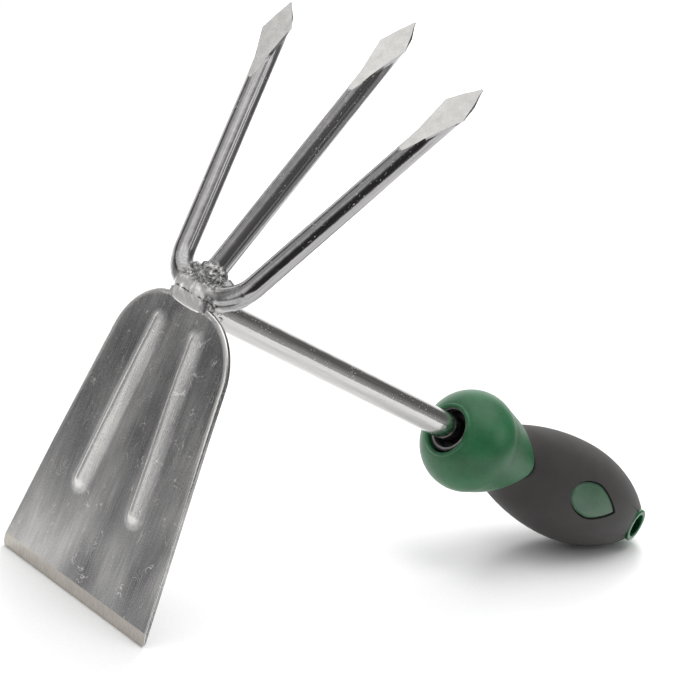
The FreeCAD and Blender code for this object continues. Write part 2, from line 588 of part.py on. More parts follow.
def sleeve_window(body, name, keep_sleeve):
    """Side view of the soft sleeve: between the tongue in front, and the boss and hard tip behind.
    Cuts that window out, or with keep_sleeve cuts away what is ahead of it and behind it."""
    nose_x, nose_z = tongue_nose()
    mid = size("tongue_z")
    touch_x = nose_x + nose_z
    far = 30.0
    back_x = touch_x - (far - nose_z)
    hole = (size("hole_x"), size("hole_z"))
    boss = size("boss_rad")
    tip = size("tip_x")
    rise = math.sqrt(boss ** 2 - (tip - hole[0]) ** 2)
    upper = (tip, hole[1] + rise)
    lower = (tip, hole[1] - rise)
    west = (hole[0] - boss, hole[1])

    def v(x, z):
        return Vector(x, z, 0)

    nose_curve = Part.Arc(v(touch_x, mid - nose_z), v(size("tongue_x"), mid), v(touch_x, mid + nose_z))
    boss_curve = Part.Arc(v(*upper), v(*west), v(*lower))
    if keep_sleeve:
        front = new_sketch(body, name + "_front", Placement(), "XZ_Plane")
        front.addGeometry(nose_curve)
        front.addGeometry(Part.LineSegment(v(touch_x, mid + nose_z), v(back_x, mid + far)))
        front.addGeometry(Part.LineSegment(v(back_x, mid + far), v(100, mid + far)))
        front.addGeometry(Part.LineSegment(v(100, mid + far), v(100, mid - far)))
        front.addGeometry(Part.LineSegment(v(100, mid - far), v(back_x, mid - far)))
        front.addGeometry(Part.LineSegment(v(back_x, mid - far), v(touch_x, mid - nose_z)))
        rule(front, "nose", "Sizes.tongue_nose", "Radius", 0, size("tongue_nose"))
        cut_through(body, name + "_ahead", front)
        rear = new_sketch(body, name + "_rear", Placement(), "XZ_Plane")
        rear.addGeometry(boss_curve)
        rear.addGeometry(Part.LineSegment(v(*lower), v(tip, -far)))
        rear.addGeometry(Part.LineSegment(v(tip, -far), v(290, -far)))
        rear.addGeometry(Part.LineSegment(v(290, -far), v(290, far)))
        rear.addGeometry(Part.LineSegment(v(290, far), v(tip, far)))
        rear.addGeometry(Part.LineSegment(v(tip, far), v(*upper)))
        rule(rear, "boss", "Sizes.boss_rad", "Radius", 0, boss)
        cut_through(body, name + "_behind", rear)
        return
    window = new_sketch(body, name + "_outline", Placement(), "XZ_Plane")
    window.addGeometry(nose_curve)
    window.addGeometry(Part.LineSegment(v(touch_x, mid + nose_z), v(back_x, mid + far)))
    window.addGeometry(Part.LineSegment(v(back_x, mid + far), v(tip, mid + far)))
    window.addGeometry(Part.LineSegment(v(tip, mid + far), v(*upper)))
    window.addGeometry(boss_curve)
    window.addGeometry(Part.LineSegment(v(*lower), v(tip, mid - far)))
    window.addGeometry(Part.LineSegment(v(tip, mid - far), v(back_x, mid - far)))
    window.addGeometry(Part.LineSegment(v(back_x, mid - far), v(touch_x, mid - nose_z)))
    rule(window, "nose", "Sizes.tongue_nose", "Radius", 0, size("tongue_nose"))
    rule(window, "boss", "Sizes.boss_rad", "Radius", 4, boss)
    cut_through(body, name, window)


def hang_hole(body):
    primitive(body, "SubtractiveCylinder", "hang_hole",
              Placement(Vector(size("hole_x"), -40, size("hole_z")), ALONG_Y),
              Radius="Sizes.hole_dia / 2", Height="80")


def handle_core():
    body = new_body("handle_core")
    spin(body, "Revolution", "outer_form", handle_profile(body, "outer_section", 0))
    sleeve_window(body, "sleeve_bed", keep_sleeve=False)
    spin(body, "Revolution", "spine", handle_profile(body, "spine_section", size("sleeve_gauge")))
    primitive(body, "AdditiveCylinder", "mouth_lip",
              Placement(Vector(size("shaft_reach") - size("lip_rise"), 0, 0), ALONG_X),
              Radius="Sizes.lip_rad", Height="Sizes.lip_rise + 3")
    shaft_bore(body, "shaft_bore", "Sizes.shaft_dia / 2", size("shaft_reach") - 5, "5 + Sizes.shaft_sunk")
    shaft_bore(body, "bush_bore", "Sizes.bush_rad", size("shaft_reach") - 5,
               "5 + Sizes.bush_sunk + Sizes.bush_long")
    hang_hole(body)
    return body


def badge_outline(body, name, grow):
    """Leaf shape seen from the side: blunt towards the bulb, pointed towards the end."""
    long = size("badge_long") + 2 * grow
    half = size("badge_wide") / 2 + grow
    x0 = size("badge_x") - long / 2
    x1 = size("badge_x") + long / 2
    z = size("badge_z")
    wide_x = x0 + 0.47 * long
    sketch = new_sketch(body, name, Placement(), "XZ_Plane")

    def v(x, dz):
        return Vector(x, z + dz, 0)

    sketch.addGeometry(Part.Arc(v(x0 + 0.05 * long, -0.52 * half), v(x0, 0), v(x0 + 0.05 * long, 0.52 * half)))
    sketch.addGeometry(Part.Arc(v(x0 + 0.05 * long, 0.52 * half), v(x0 + 0.22 * long, 0.9 * half), v(wide_x, half)))
    sketch.addGeometry(Part.Arc(v(wide_x, half), v(x0 + 0.76 * long, 0.72 * half), v(x1, 0)))
    sketch.addGeometry(Part.Arc(v(x1, 0), v(x0 + 0.76 * long, -0.72 * half), v(wide_x, -half)))
    sketch.addGeometry(Part.Arc(v(wide_x, -half), v(x0 + 0.22 * long, -0.9 * half), v(x0 + 0.05 * long, -0.52 * half)))
    return sketch


def badge_prism(body, kind, name, side, grow):
    """Leaf-shaped block from the badge's seat out past the grip's surface on one side."""
    sketch = badge_outline(body, name + "_leaf", grow)
    # this plane's own direction is -Y
    sketch.AttachmentOffset = Placement(Vector(0, 0, -side * size("badge_floor")), Rotation())
    feature = body.newObject("PartDesign::" + kind, name)
    feature.Profile = sketch
    feature.Length = 8.0
    feature.Reversed = (side > 0) if kind == "Pad" else (side < 0)
    doc.recompute()


def grip_sleeve():
    body = new_body("grip_sleeve")
    spin(body, "Revolution", "outer_form", handle_profile(body, "outer_section", 0))
    sleeve_window(body, "sleeve_end", keep_sleeve=True)
    spin(body, "Groove", "less_spine", handle_profile(body, "spine_section", size("sleeve_gauge")))
    for side, word in ((1, "left"), (-1, "right")):
        badge_prism(body, "Pocket", word + "_recess", side, size("badge_gap"))
    return body


def badge(label, side):
    body = new_body(label)
    badge_prism(body, "Pad", "leaf", side, 0)
    # trimmed to the grip's own surface
    s = size
    x0, x1 = s("badge_x") - 20, s("badge_x") + 20
    centre = (s("grip_x"), s("grip_dia") / 2 - s("grip_fore_rad"))
    aft = (s("grip_x"), s("grip_dia") / 2 - s("grip_aft_rad"))
    y0 = centre[1] + math.sqrt(s("grip_fore_rad") ** 2 - (x0 - centre[0]) ** 2)
    y1 = aft[1] + math.sqrt(s("grip_aft_rad") ** 2 - (x1 - aft[0]) ** 2)
    top = (s("grip_x"), s("grip_dia") / 2)
    trim = new_sketch(body, "trim_section", Placement(Vector(0, -s("handle_drop"), 0), Rotation()), "XZ_Plane")
    trim.addGeometry(arc(centre, s("grip_fore_rad"), (x0, y0), top, clockwise=True))
    trim.addGeometry(arc(aft, s("grip_aft_rad"), top, (x1, y1), clockwise=True))
    trim.addGeometry(Part.LineSegment(Vector(x1, y1, 0), Vector(x1, 50, 0)))
    trim.addGeometry(Part.LineSegment(Vector(x1, 50, 0), Vector(x0, 50, 0)))
    trim.addGeometry(Part.LineSegment(Vector(x0, 50, 0), Vector(x0, y0, 0)))
    rule(trim, "fore", "Sizes.grip_fore_rad", "Radius", 0, s("grip_fore_rad"))
    rule(trim, "aft", "Sizes.grip_aft_rad", "Radius", 1, s("grip_aft_rad"))
    spin(body, "Groove", "trim", trim)
    return body


# ---------------------------------------------------------------- bush and ring in the handle's mouth

def mouth_bush():
    body = new_body("mouth_bush")
    face = size("shaft_reach") + size("bush_sunk")
    primitive(body, "AdditiveCylinder", "plug", Placement(Vector(face, 0, 0), ALONG_X),
              Radius="Sizes.bush_rad", Height="Sizes.bush_long")
    shaft_bore(body, "shaft_hole", "Sizes.shaft_dia / 2", face - 2, "Sizes.bush_long + 4")
    shaft_bore(body, "recess", "Sizes.recess_rad", face - 2, "2 + Sizes.recess_deep")
    shaft_bore(body, "ring_seat", "Sizes.ring_rad", face - 2, "2 + Sizes.ring_long")
    return body


def mouth_ring():
    body = new_body("mouth_ring")
    face = size("shaft_reach") + size("bush_sunk")
    primitive(body, "AdditiveCylinder", "band", Placement(Vector(face, 0, 0), ALONG_X),
              Radius="Sizes.ring_rad", Height="Sizes.ring_long")
    shaft_bore(body, "opening", "Sizes.recess_rad", face - 2, "4 + Sizes.ring_long")
    return body


# ---------------------------------------------------------------- assembly

def rest_tilt():
    """Angle that lays both the cutting edge and the grip's belly on a level floor, degrees.
    The floor passes through the blade's lower back corner and touches the circle of the grip's rear profile."""
    edge = BLADE.multVec(Vector(size("blade_gauge"), 0, -size("blade_height")))
    centre_x = size("grip_x")
    centre_z = size("grip_aft_rad") - size("grip_dia") / 2 - size("handle_drop")
    dx = centre_x - edge.x
    dz = centre_z - edge.z
    return math.degrees(math.atan2(dz, dx) - math.asin(size("grip_aft_rad") / math.hypot(dx, dz)))


PIECES = [
    (hoe_blade(), BLADE),
    (outer_tines(), Placement()),
    (centre_tine(), Placement()),
    (blade_weld(), Placement()),
    (tine_weld(), Placement()),
    (shaft_weld(), Placement()),
    (shaft(), Placement()),
    (mouth_bush(), Placement()),
    (mouth_ring(), Placement()),
    (handle_core(), Placement()),
    (grip_sleeve(), Placement()),
    (badge("badge_left", 1), Placement()),
    (badge("badge_right", -1), Placement()),
]
doc.recompute()

# the tool is turned to its resting angle, set on the floor and centred along it
turned = Placement(Vector(), tilt(rest_tilt()))
boxes = []
for body, own in PIECES:
    placed = body.Shape.copy()
    placed.Placement = turned.multiply(own)
    boxes.append(placed.optimalBoundingBox(False, False))
low_x = min(box.XMin for box in boxes)
high_x = max(box.XMax for box in boxes)
low_z = min(box.ZMin for box in boxes)
REST = Placement(Vector(-(low_x + high_x) / 2, 0, -low_z), tilt(rest_tilt()))
for body, own in PIECES:
    body.Placement = REST.multiply(own)
doc.recompute()

for obj in doc.Objects:
    if "Invalid" in obj.State or "Error" in obj.State:
        raise RuntimeError("%s did not rebuild" % obj.Name)
for body, own in PIECES:
    if body.Shape.isNull() or not body.Shape.isValid() or len(body.Shape.Solids) != 1:
        raise RuntimeError("%s is not one sound solid" % body.Label)

os.makedirs("parts", exist_ok=True)
for body, own in PIECES:
    body.Shape.exportStep("parts/%s.step" % body.Label)
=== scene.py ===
import json
import math
import bmesh
import bpy
from mathutils import Matrix, Vector, noise


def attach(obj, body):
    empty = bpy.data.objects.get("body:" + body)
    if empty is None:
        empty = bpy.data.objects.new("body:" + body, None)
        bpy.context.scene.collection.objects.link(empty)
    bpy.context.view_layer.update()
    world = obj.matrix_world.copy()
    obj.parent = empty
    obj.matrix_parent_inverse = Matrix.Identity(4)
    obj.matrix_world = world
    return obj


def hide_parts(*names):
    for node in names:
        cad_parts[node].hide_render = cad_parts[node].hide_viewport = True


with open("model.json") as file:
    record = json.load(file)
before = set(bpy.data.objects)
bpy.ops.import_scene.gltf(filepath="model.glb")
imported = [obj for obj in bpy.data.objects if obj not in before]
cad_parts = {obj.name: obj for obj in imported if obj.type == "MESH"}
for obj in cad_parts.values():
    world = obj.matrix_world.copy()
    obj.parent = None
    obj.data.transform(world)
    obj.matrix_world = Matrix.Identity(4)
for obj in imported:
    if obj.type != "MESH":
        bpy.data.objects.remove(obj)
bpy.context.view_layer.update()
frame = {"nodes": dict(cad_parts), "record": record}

nodes = frame["nodes"]

# ---------------------------------------------------------------- studio
# A sheet of white paper as floor, a white room behind, and the soft boxes and dark corners of a small
# product studio round it, which give bright steel its light and dark bands.

camera = bpy.data.objects.new("camera", bpy.data.cameras.new("camera"))
bpy.context.scene.collection.objects.link(camera)
camera.data.lens = 158.36
camera.data.sensor_width = 36.0
camera_axes = Matrix(((0.75818397, 0.03059591, -0.65132246),
                      (-0.61742198, 0.3548407, -0.70205283),
                      (0.20963577, 0.93442601, 0.28792512)))
camera.matrix_world = Matrix.Translation((-0.72151, -0.73430, 0.38643)) @ camera_axes.to_4x4()
bpy.context.scene.camera = camera
bpy.context.scene.view_settings.view_transform = "Standard"


def linear(code):
    """Colour for a shader from an sRGB hex code."""
    channels = [int(code[i:i + 2], 16) / 255 for i in (1, 3, 5)]
    return [c / 12.92 if c <= 0.04045 else ((c + 0.055) / 1.055) ** 2.4 for c in channels] + [1.0]


def node(tree, kind, inputs=None, stops=None, **settings):
    """Adds a node with settings; each input is a value, a socket or a node whose first output is linked."""
    made = tree.nodes.new("ShaderNode" + kind)
    for name, value in settings.items():
        setattr(made, name, value)
    for key, value in (inputs or {}).items():
        if isinstance(value, bpy.types.Node):
            value = value.outputs[0]
        if isinstance(value, bpy.types.NodeSocket):
            tree.links.new(value, made.inputs[key])
        else:
            made.inputs[key].default_value = value
    for i, (place, colour) in enumerate(stops or []):
        stop = made.color_ramp.elements[i] if i < 2 else made.color_ramp.elements.new(place)
        stop.position = place
        stop.color = linear(colour) if isinstance(colour, str) else (colour, colour, colour, 1)
    return made


def new_material(name):
    material = bpy.data.materials.new(name)
    material.use_nodes = True
    tree = material.node_tree
    return material, tree, tree.nodes["Principled BSDF"]


def finished(name, bm, place, materials, sharp=30):
    """Object from a mesh in millimetres, set in its place, smooth but for edges over an angle."""
    bmesh.ops.transform(bm, matrix=place, verts=bm.verts)
    for face in bm.faces:
        face.smooth = True
    for edge in bm.edges:
        edge.smooth = len(edge.link_faces) < 2 or edge.calc_face_angle(0) < math.radians(sharp)
    mesh = bpy.data.meshes.new(name)
    bm.to_mesh(mesh)
    bm.free()
    made = bpy.data.objects.new(name, mesh)
    bpy.context.scene.collection.objects.link(made)
    for material in materials:
        mesh.materials.append(material)
    return made


paper, tree, shader = new_material("matt_white_paper")
grain = node(tree, "TexNoise", {"Vector": node(tree, "TexCoord").outputs["Object"], "Scale": 900.0})
tint = node(tree, "ValToRGB", {0: grain.outputs[0]}, stops=[(0.3, "#F1F1F1"), (0.7, "#F5F5F5")])
tree.links.new(tint.outputs[0], shader.inputs["Base Color"])
shader.inputs["Roughness"].default_value = 0.8
shader.inputs["Specular IOR Level"].default_value = 0.2

bm = bmesh.new()
bmesh.ops.create_grid(bm, x_segments=8, y_segments=8, size=1.0)
# a strip, long behind the tool and short in front of it
PAPER_HALF_LONG, PAPER_HALF_WIDE, PAPER_MIDDLE = 1.8, 0.27, 1.4
PAPER_TURN = math.radians(47)
for vert in bm.verts:
    vert.co = Vector((vert.co.x * PAPER_HALF_LONG + PAPER_MIDDLE, vert.co.y * PAPER_HALF_WIDE, 0))
floor = finished("floor", bm, Matrix.Rotation(PAPER_TURN, 4, "Z"), [paper])

# (towards azimuth, elevation, half width and soft edge, all in degrees, brightness); later ones cover earlier
PATCHES = [
    (60, 0, 25, 32, 1.5),      # lit backdrop
    (20, -22, 10, 25, 0.75),   # paper's far end
    (122, 27, 6, 12, 0.10),    # gap between backdrop and side box
    (117, 43, 7, 9, 1.15),     # white card over the gap
    (160, 40, 10, 25, 0.60),   # side fill
    (180, 8, 9, 14, 1.05),     # left soft box
    (235, 6, 20, 24, 0.05),    # dark room behind the camera
    (240, 34, 12, 20, 0.17),
    (285, 2, 8, 16, 0.15),
    (311, -18, 8, 14, 0.5),    # pale floor on the right
    (350, 15, 12, 18, 0.16),   # dark gap beside the right soft box
    (300, 30, 9, 12, 1.6),     # right soft box
    (0, 90, 24, 24, 1.5),      # overhead box
]
world = bpy.data.worlds.new("studio")
bpy.context.scene.world = world
world.use_nodes = True
tree = world.node_tree
towards = node(tree, "TexCoord").outputs["Generated"]
ROOM = 0.34
level = ROOM
for azimuth, elevation, width, edge, brightness in PATCHES:
    a, e = math.radians(azimuth), math.radians(elevation)
    aim = (math.cos(e) * math.cos(a), math.cos(e) * math.sin(a), math.sin(e))
    dot = node(tree, "VectorMath", {0: towards, 1: aim}, operation="DOT_PRODUCT")
    inside = node(tree, "MapRange", {0: dot.outputs["Value"], 1: math.cos(math.radians(width + edge)),
                                     2: math.cos(math.radians(width))}, interpolation_type="SMOOTHSTEP")
    level = node(tree, "Mix", {0: inside.outputs[0], 2: level, 3: brightness}).outputs[0]
seen = node(tree, "LightPath").outputs["Is Camera Ray"]
background = tree.nodes["Background"]
tree.links.new(node(tree, "Mix", {0: seen, 2: level, 3: 1.0}).outputs[0], background.inputs["Strength"])
background.inputs["Color"].default_value = (1, 1, 1, 1)

# (name, place and side in metres, watts)
for label, where, size, watts in (("overhead_box", (0.25, 0.1, 1.5), 1.2, 8.5),
                                  ("back_box", (0.9, 0.95, 0.9), 0.45, 10.0)):
    lamp = bpy.data.objects.new(label, bpy.data.lights.new(label, "AREA"))
    lamp.data.size = size
    lamp.data.energy = watts
    lamp.location = where
    lamp.rotation_euler = (-Vector(where)).to_track_quat("-Z", "Y").to_euler()
    lamp.visible_glossy = False
    bpy.context.scene.collection.objects.link(lamp)

# ---------------------------------------------------------------- hoe blade
# Stainless sheet 1.8 mm thick, blanked and pressed with two stiffening ribs, brushed lengthwise to a satin
# face, with a rolled rim round its shoulders and a bevel ground on the front of its cutting edge; rim, neck,
# edge and ribs carry a painted highlight.

# the tool's own frame: +X along the shaft to the handle, +Z towards the tines, origin in the hub, millimetres
REST_TILT = 21.813
HANG_HOLE = (247.0, 0.0, -1.0)
hole_place = Vector(frame["record"]["mounts"][0]["pos_m"])
TOOL = (Matrix.Translation(hole_place) @ Matrix.Rotation(math.radians(REST_TILT), 4, "Y")
        @ Matrix.Scale(0.001, 4) @ Matrix.Translation(-Vector(HANG_HOLE)))
# blade's frame: +X from the front face to the back, +Z up the blade
BLADE_LEAN = -8.2
BLADE = TOOL @ Matrix.Translation((-2.5, 0, 0)) @ Matrix.Rotation(math.radians(BLADE_LEAN), 4, "Y")

# edge below the hub, half the cutting edge, sides' flare, radii of corners and shoulders
HIGH = 106.9
HALF = 42.05
FLARE = math.radians(7.2)
CORNER = 2.0
SHOULDER = 23.5
SHOULDER_Z = -24.0
SHOULDER_Y = HALF - (HIGH + SHOULDER_Z) * math.tan(FLARE) - SHOULDER / math.cos(FLARE)
NECK = 11.0
GAUGE = 1.8
BEVEL_HIGH = 4.6
LAND = 0.4
# each rib's ends, as (from the middle, up the blade); its height, half its foot's width, its crest's rounding
RIB_LOW, RIB_TOP = Vector((15.6, -71.5)), Vector((10.2, -12.0))
RIB_HIGH, RIB_HALF, CREST_ROUND = 2.3, 4.5, 0.12


def half_width(z):
    """Half of the blade's width at a height."""
    if z > SHOULDER_Z + SHOULDER * math.sin(FLARE):
        rise = min(z - SHOULDER_Z, math.sqrt(SHOULDER ** 2 - (NECK - SHOULDER_Y) ** 2))
        return max(NECK, SHOULDER_Y + math.sqrt(SHOULDER ** 2 - rise ** 2))
    low = max(z + HIGH, 0.0)
    corner = CORNER - math.sqrt(CORNER ** 2 - (CORNER - low) ** 2) if low < CORNER else 0.0
    return HALF - low * math.tan(FLARE) - corner


def from_rim(y, z):
    """Distance inwards from the blade's side or shoulder."""
    if z > SHOULDER_Z and abs(y) > SHOULDER_Y:
        return SHOULDER - math.hypot(abs(y) - SHOULDER_Y, z - SHOULDER_Z)
    return (half_width(z) - abs(y)) * math.cos(FLARE)


def ease(value, low, high):
    """0 below low, 1 above high, smooth between."""
    t = min(max((value - low) / (high - low), 0.0), 1.0)
    return t * t * (3 - 2 * t)


def rib_height(y, z):
    """Pressed ribs: roof-shaped with a narrow rounded crest, soft at the foot, ball-ended."""
    along = RIB_TOP - RIB_LOW
    point = Vector((abs(y), z)) - RIB_LOW
    t = min(max(point.dot(along) / along.length_squared, 0.0), 1.0)
    away = (point - along * t).length
    away = math.sqrt(away ** 2 + CREST_ROUND) - math.sqrt(CREST_ROUND)
    u = min(away / RIB_HALF, 1.0)
    height = RIB_HIGH - 0.5 * ease(t, 0.75, 1.0)
    return height * (1 - (0.6 * u + 0.4 * ease(u, 0, 1)))


# grid lines closer together along the bevel, the rim and the shoulders
rows = [-HIGH + d for d in (0, .05, .15, .3, .5, .8, 1.2, 1.6, 2.0, 2.6, 3.2, BEVEL_HIGH, 4.75)]
rows += [-HIGH + 5.4 + 0.8 * i for i in range(100)]
rows += [SHOULDER_Z + SHOULDER * math.sin(math.radians(a)) for a in range(11, 83)]
rows += [-0.4, 0.0, 0.8]
edge_steps = [0, .003, .007, .012, .018, .025, .033, .042, .053, .066, .08]
middle_steps = [.08 + (1 - .08) * i / 46 for i in range(1, 47)]
columns = [1 - t for t in edge_steps + middle_steps]
columns = [-c for c in columns[:-1]] + [0.0] + columns[:-1][::-1]

bm = bmesh.new()
bmesh.ops.create_grid(bm, x_segments=len(columns) - 1, y_segments=len(rows) - 1, size=1.0)
# share of painted highlight for each vertex of the front face
painted_highlight = bm.verts.layers.float.new("painted_highlight")
front = list(bm.verts)
for vert in front:
    column = columns[round((vert.co.x + 1) / 2 * (len(columns) - 1))]
    z = rows[round((vert.co.y + 1) / 2 * (len(rows) - 1))]
    vert.co = Vector((0, -column * half_width(z), z))
bmesh.ops.recalc_face_normals(bm, faces=bm.faces)
back = [g for g in bmesh.ops.duplicate(bm, geom=bm.faces[:])["geom"] if isinstance(g, bmesh.types.BMFace)]
back_verts = list({v for f in back for v in f.verts})
front_rim = [e for e in bm.edges if e.is_boundary and e.verts[0] not in set(back_verts)]
back_rim = [e for e in bm.edges if e.is_boundary and e.verts[0] in set(back_verts)]
bmesh.ops.translate(bm, vec=(GAUGE, 0, 0), verts=back_verts)
bmesh.ops.bridge_loops(bm, edges=front_rim + back_rim)
through = [e for e in bm.edges if abs(e.verts[0].co.x - e.verts[1].co.x) > 1]
bmesh.ops.subdivide_edges(bm, edges=through, cuts=2)
for vert in bm.verts:
    y, z = vert.co.y, vert.co.z
    rim = max(from_rim(y, z), 0.0)
    rolled = ease(z, -75, -30) * ease(abs(y), NECK - 1, NECK + 2)
    wide, deep = 0.35 + 1.1 * rolled, 0.2 + 0.45 * rolled
    curl = 1 - math.sqrt(max(1 - (1 - min(rim / wide, 1.0)) ** 2, 0.0))
    side = vert.co.x / GAUGE
    shift = -rib_height(y, z) * ease(rim, 1.0, 4.0)
    # the face is pressed in a little inside the rolled rim
    shift += 0.28 * ease(rim, 1.2, 2.6) * rolled + 0.28 * ease(z, -1.6, -3.0) * ease(z, -40, -14)
    if side < 0.1:
        shift += deep * curl
        # painted highlight: the rolled rim, the neck, the very edge and the ribs are painted lighter where
        # they catch the light, and made smoother
        vert[painted_highlight] = max(rolled * (1 - ease(rim, 1.3, 1.9)),
                           ease(z, -2.6, -1.9) * (1 - ease(abs(y), NECK, NECK + 3)),
                           0.8 * (1 - ease(rim, 0.12, 0.5)), 0.6 * ease(rib_height(y, z), 0.2, 1.3))
    elif side > 0.9:
        shift -= 0.2 * (1 - ease(rim, 0, 0.4))
    vert.co.x += shift
    if side < 0.9 and z <= BEVEL_HIGH - HIGH:
        ground = (GAUGE - LAND) * (1 - (z + HIGH) / BEVEL_HIGH)
        vert.co.x = max(vert.co.x, ground + side * (GAUGE - ground))
for face in bm.faces:
    centre = face.calc_center_median()
    if centre.z < BEVEL_HIGH - HIGH and centre.x < 1.6 and abs(face.normal.y) < 0.7:
        face.material_index = 1
bmesh.ops.recalc_face_normals(bm, faces=bm.faces)


def steel_coords(tree, place, scale=(1, 1, 1)):
    """Object coordinates turned into a piece's own frame, in millimetres, then scaled."""
    own = node(tree, "Mapping", {0: node(tree, "TexCoord").outputs["Object"], 1: place.to_translation(),
                                 2: place.to_euler(), 3: (0.001, 0.001, 0.001)}, vector_type="TEXTURE")
    return node(tree, "Mapping", {0: own, 3: scale})


def noisy(tree, coords, scale, detail, **more):
    """Noise texture over coordinates in millimetres."""
    return node(tree, "TexNoise", {"Vector": coords, "Scale": scale, "Detail": detail, **more})


# satin brushed stainless: soft grey with lengthwise streaks over a stippled mill finish, and hair scratches
blade_satin, tree, shader = new_material("brushed_stainless_sheet")
across = steel_coords(tree, BLADE, (1, 2.6, 0.05))
streaks = noisy(tree, across, 1.0, 8.0, Roughness=0.7)
fine = noisy(tree, steel_coords(tree, BLADE, (1, 9.0, 0.16)), 1.0, 4.0)
stipple = noisy(tree, steel_coords(tree, BLADE), 2.2, 6.0, Roughness=0.75)
clouds = noisy(tree, steel_coords(tree, BLADE, (1, 1, 0.45)), 0.055, 3.0)
parts = node(tree, "SeparateXYZ", {0: steel_coords(tree, BLADE)})
# painted light: the blade's colour grows lighter towards its lower part and towards its +Y side, where it
# catches more light
low = node(tree, "MapRange", {0: parts.outputs[2], 1: -60.0, 2: -100.0}, interpolation_type="SMOOTHSTEP")
painted_light_left = node(tree, "MapRange", {0: parts.outputs[1], 1: -10.0, 2: 34.0}, interpolation_type="SMOOTHSTEP")
value = 0.0
for field, share in ((clouds, 0.6), (streaks, 0.42), (stipple, 0.5), (low, 0.04), (painted_light_left, 0.05)):
    value = node(tree, "Math", {0: field.outputs[0], 1: share, 2: value}, operation="MULTIPLY_ADD")
satin = node(tree, "ValToRGB", {0: value}, stops=[(0.62, "#6B6A6C"), (0.80, "#A4A3A3"), (0.98, "#D6D4D2")])
# hair scratches: fine curling lines kept only in patches, and bright flecks
curling = noisy(tree, steel_coords(tree, BLADE), 0.15, 1.0, Distortion=1.6)
off_line = node(tree, "Math", {0: curling, 1: 0.5}, operation="SUBTRACT")
off_line = node(tree, "Math", {0: off_line}, operation="ABSOLUTE")
thin = node(tree, "MapRange", {0: off_line, 1: 0.014, 2: 0.005})
patchy = noisy(tree, steel_coords(tree, BLADE), 0.16, 3.0)
keep = node(tree, "MapRange", {0: patchy.outputs[0], 1: 0.55, 2: 0.59})
scratch = node(tree, "Math", {0: thin.outputs[0], 1: keep.outputs[0]}, operation="MULTIPLY")
flecks = noisy(tree, steel_coords(tree, BLADE), 1.7, 2.0)
flecks = node(tree, "MapRange", {0: flecks.outputs[0], 1: 0.68, 2: 0.74})
scratch = node(tree, "Math", {0: scratch, 1: flecks.outputs[0]}, operation="MAXIMUM")
scratched = node(tree, "Mix", {0: node(tree, "Math", {0: scratch, 1: 0.75}, operation="MULTIPLY"),
                               6: satin.outputs[0], 7: linear("#E8E6E2")}, data_type="RGBA")
# painted highlight: this mask turns the rim, neck, edge and ribs towards near white, and makes them smoother
rolled = node(tree, "Attribute", attribute_name="painted_highlight")
colour = node(tree, "Mix", {0: rolled.outputs["Fac"], 6: scratched.outputs[2], 7: linear("#EDEBE8")},
              data_type="RGBA")
tree.links.new(colour.outputs[2], shader.inputs["Base Color"])
rough = node(tree, "MapRange", {0: streaks.outputs[0], 3: 0.27, 4: 0.42})
rough = node(tree, "Mix", {0: rolled.outputs["Fac"], 2: rough.outputs[0], 3: 0.16})
tree.links.new(rough.outputs[0], shader.inputs["Roughness"])
shader.inputs["Metallic"].default_value = 1.0
relief = node(tree, "Math", {0: streaks.outputs[0], 1: fine.outputs[0]}, operation="ADD")
relief = node(tree, "Math", {0: relief, 1: stipple.outputs[0]}, operation="ADD")
relief = node(tree, "Math", {0: relief, 1: scratch}, operation="SUBTRACT")
bump = node(tree, "Bump", {"Height": relief, "Strength": 0.4, "Distance": 0.0001})
tree.links.new(bump.outputs[0], shader.inputs["Normal"])

# ground bevel: paler and warmer, with fine lines across the edge left by the grinding belt
ground_steel, tree, shader = new_material("belt_ground_stainless")
lines = noisy(tree, steel_coords(tree, BLADE, (1, 5.0, 0.3)), 1.0, 5.0)
tint = node(tree, "ValToRGB", {0: lines.outputs[0]}, stops=[(0.3, "#A9A59E"), (0.7, "#CBC6BE")])
tree.links.new(tint.outputs[0], shader.inputs["Base Color"])
rough = node(tree, "MapRange", {0: lines.outputs[0], 3: 0.34, 4: 0.5})
tree.links.new(rough.outputs[0], shader.inputs["Roughness"])
shader.inputs["Metallic"].default_value = 1.0
bump = node(tree, "Bump", {"Height": lines.outputs[0], "Strength": 0.5, "Distance": 0.00006})
tree.links.new(bump.outputs[0], shader.inputs["Normal"])

blade = finished("blade_sheet", bm, BLADE, [blade_satin, ground_steel])
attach(blade, "root")
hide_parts("hoe_blade")

# ---------------------------------------------------------------- tines
# Two lengths of 7.6 mm stainless rod: one bent to a U for the outer tines, one straight between them. Each
# end is forged to a flat lance on the front with a keel behind, and ground; the rods are polished.

# radius of the rod; the lance's flat, widest half and its place, its point and its wings' thickness
ROD = 3.8
FLAT_LONG = 33.0
FLAT_PAST = 0.4
LANCE_HALF = 6.65
LANCE_BACK = 11.0
POINT_HALF = 0.4
WING = 1.0
AROUND = 56
FACE = 16
FORK = TOOL @ Matrix.Translation((0.2, 0, 0)) @ Matrix.Rotation(math.radians(10.5), 4, "Y")
MIDDLE = TOOL @ Matrix.Translation((-1.0, 0, 0)) @ Matrix.Rotation(math.radians(13.8), 4, "Y")


def lance_half(d):
    """Half width of the lance at a distance from its point: nearly straight out, then narrowing."""
    if d < LANCE_BACK:
        u = d / LANCE_BACK
        share = 0.55 * u + 0.45 * u ** 1.6 + 0.10 * math.sin(u * math.pi) ** 2
        return POINT_HALF + (LANCE_HALF - POINT_HALF) * share
    u = min((d - LANCE_BACK) / (FLAT_LONG - LANCE_BACK), 1.0)
    return LANCE_HALF * (1 - u)


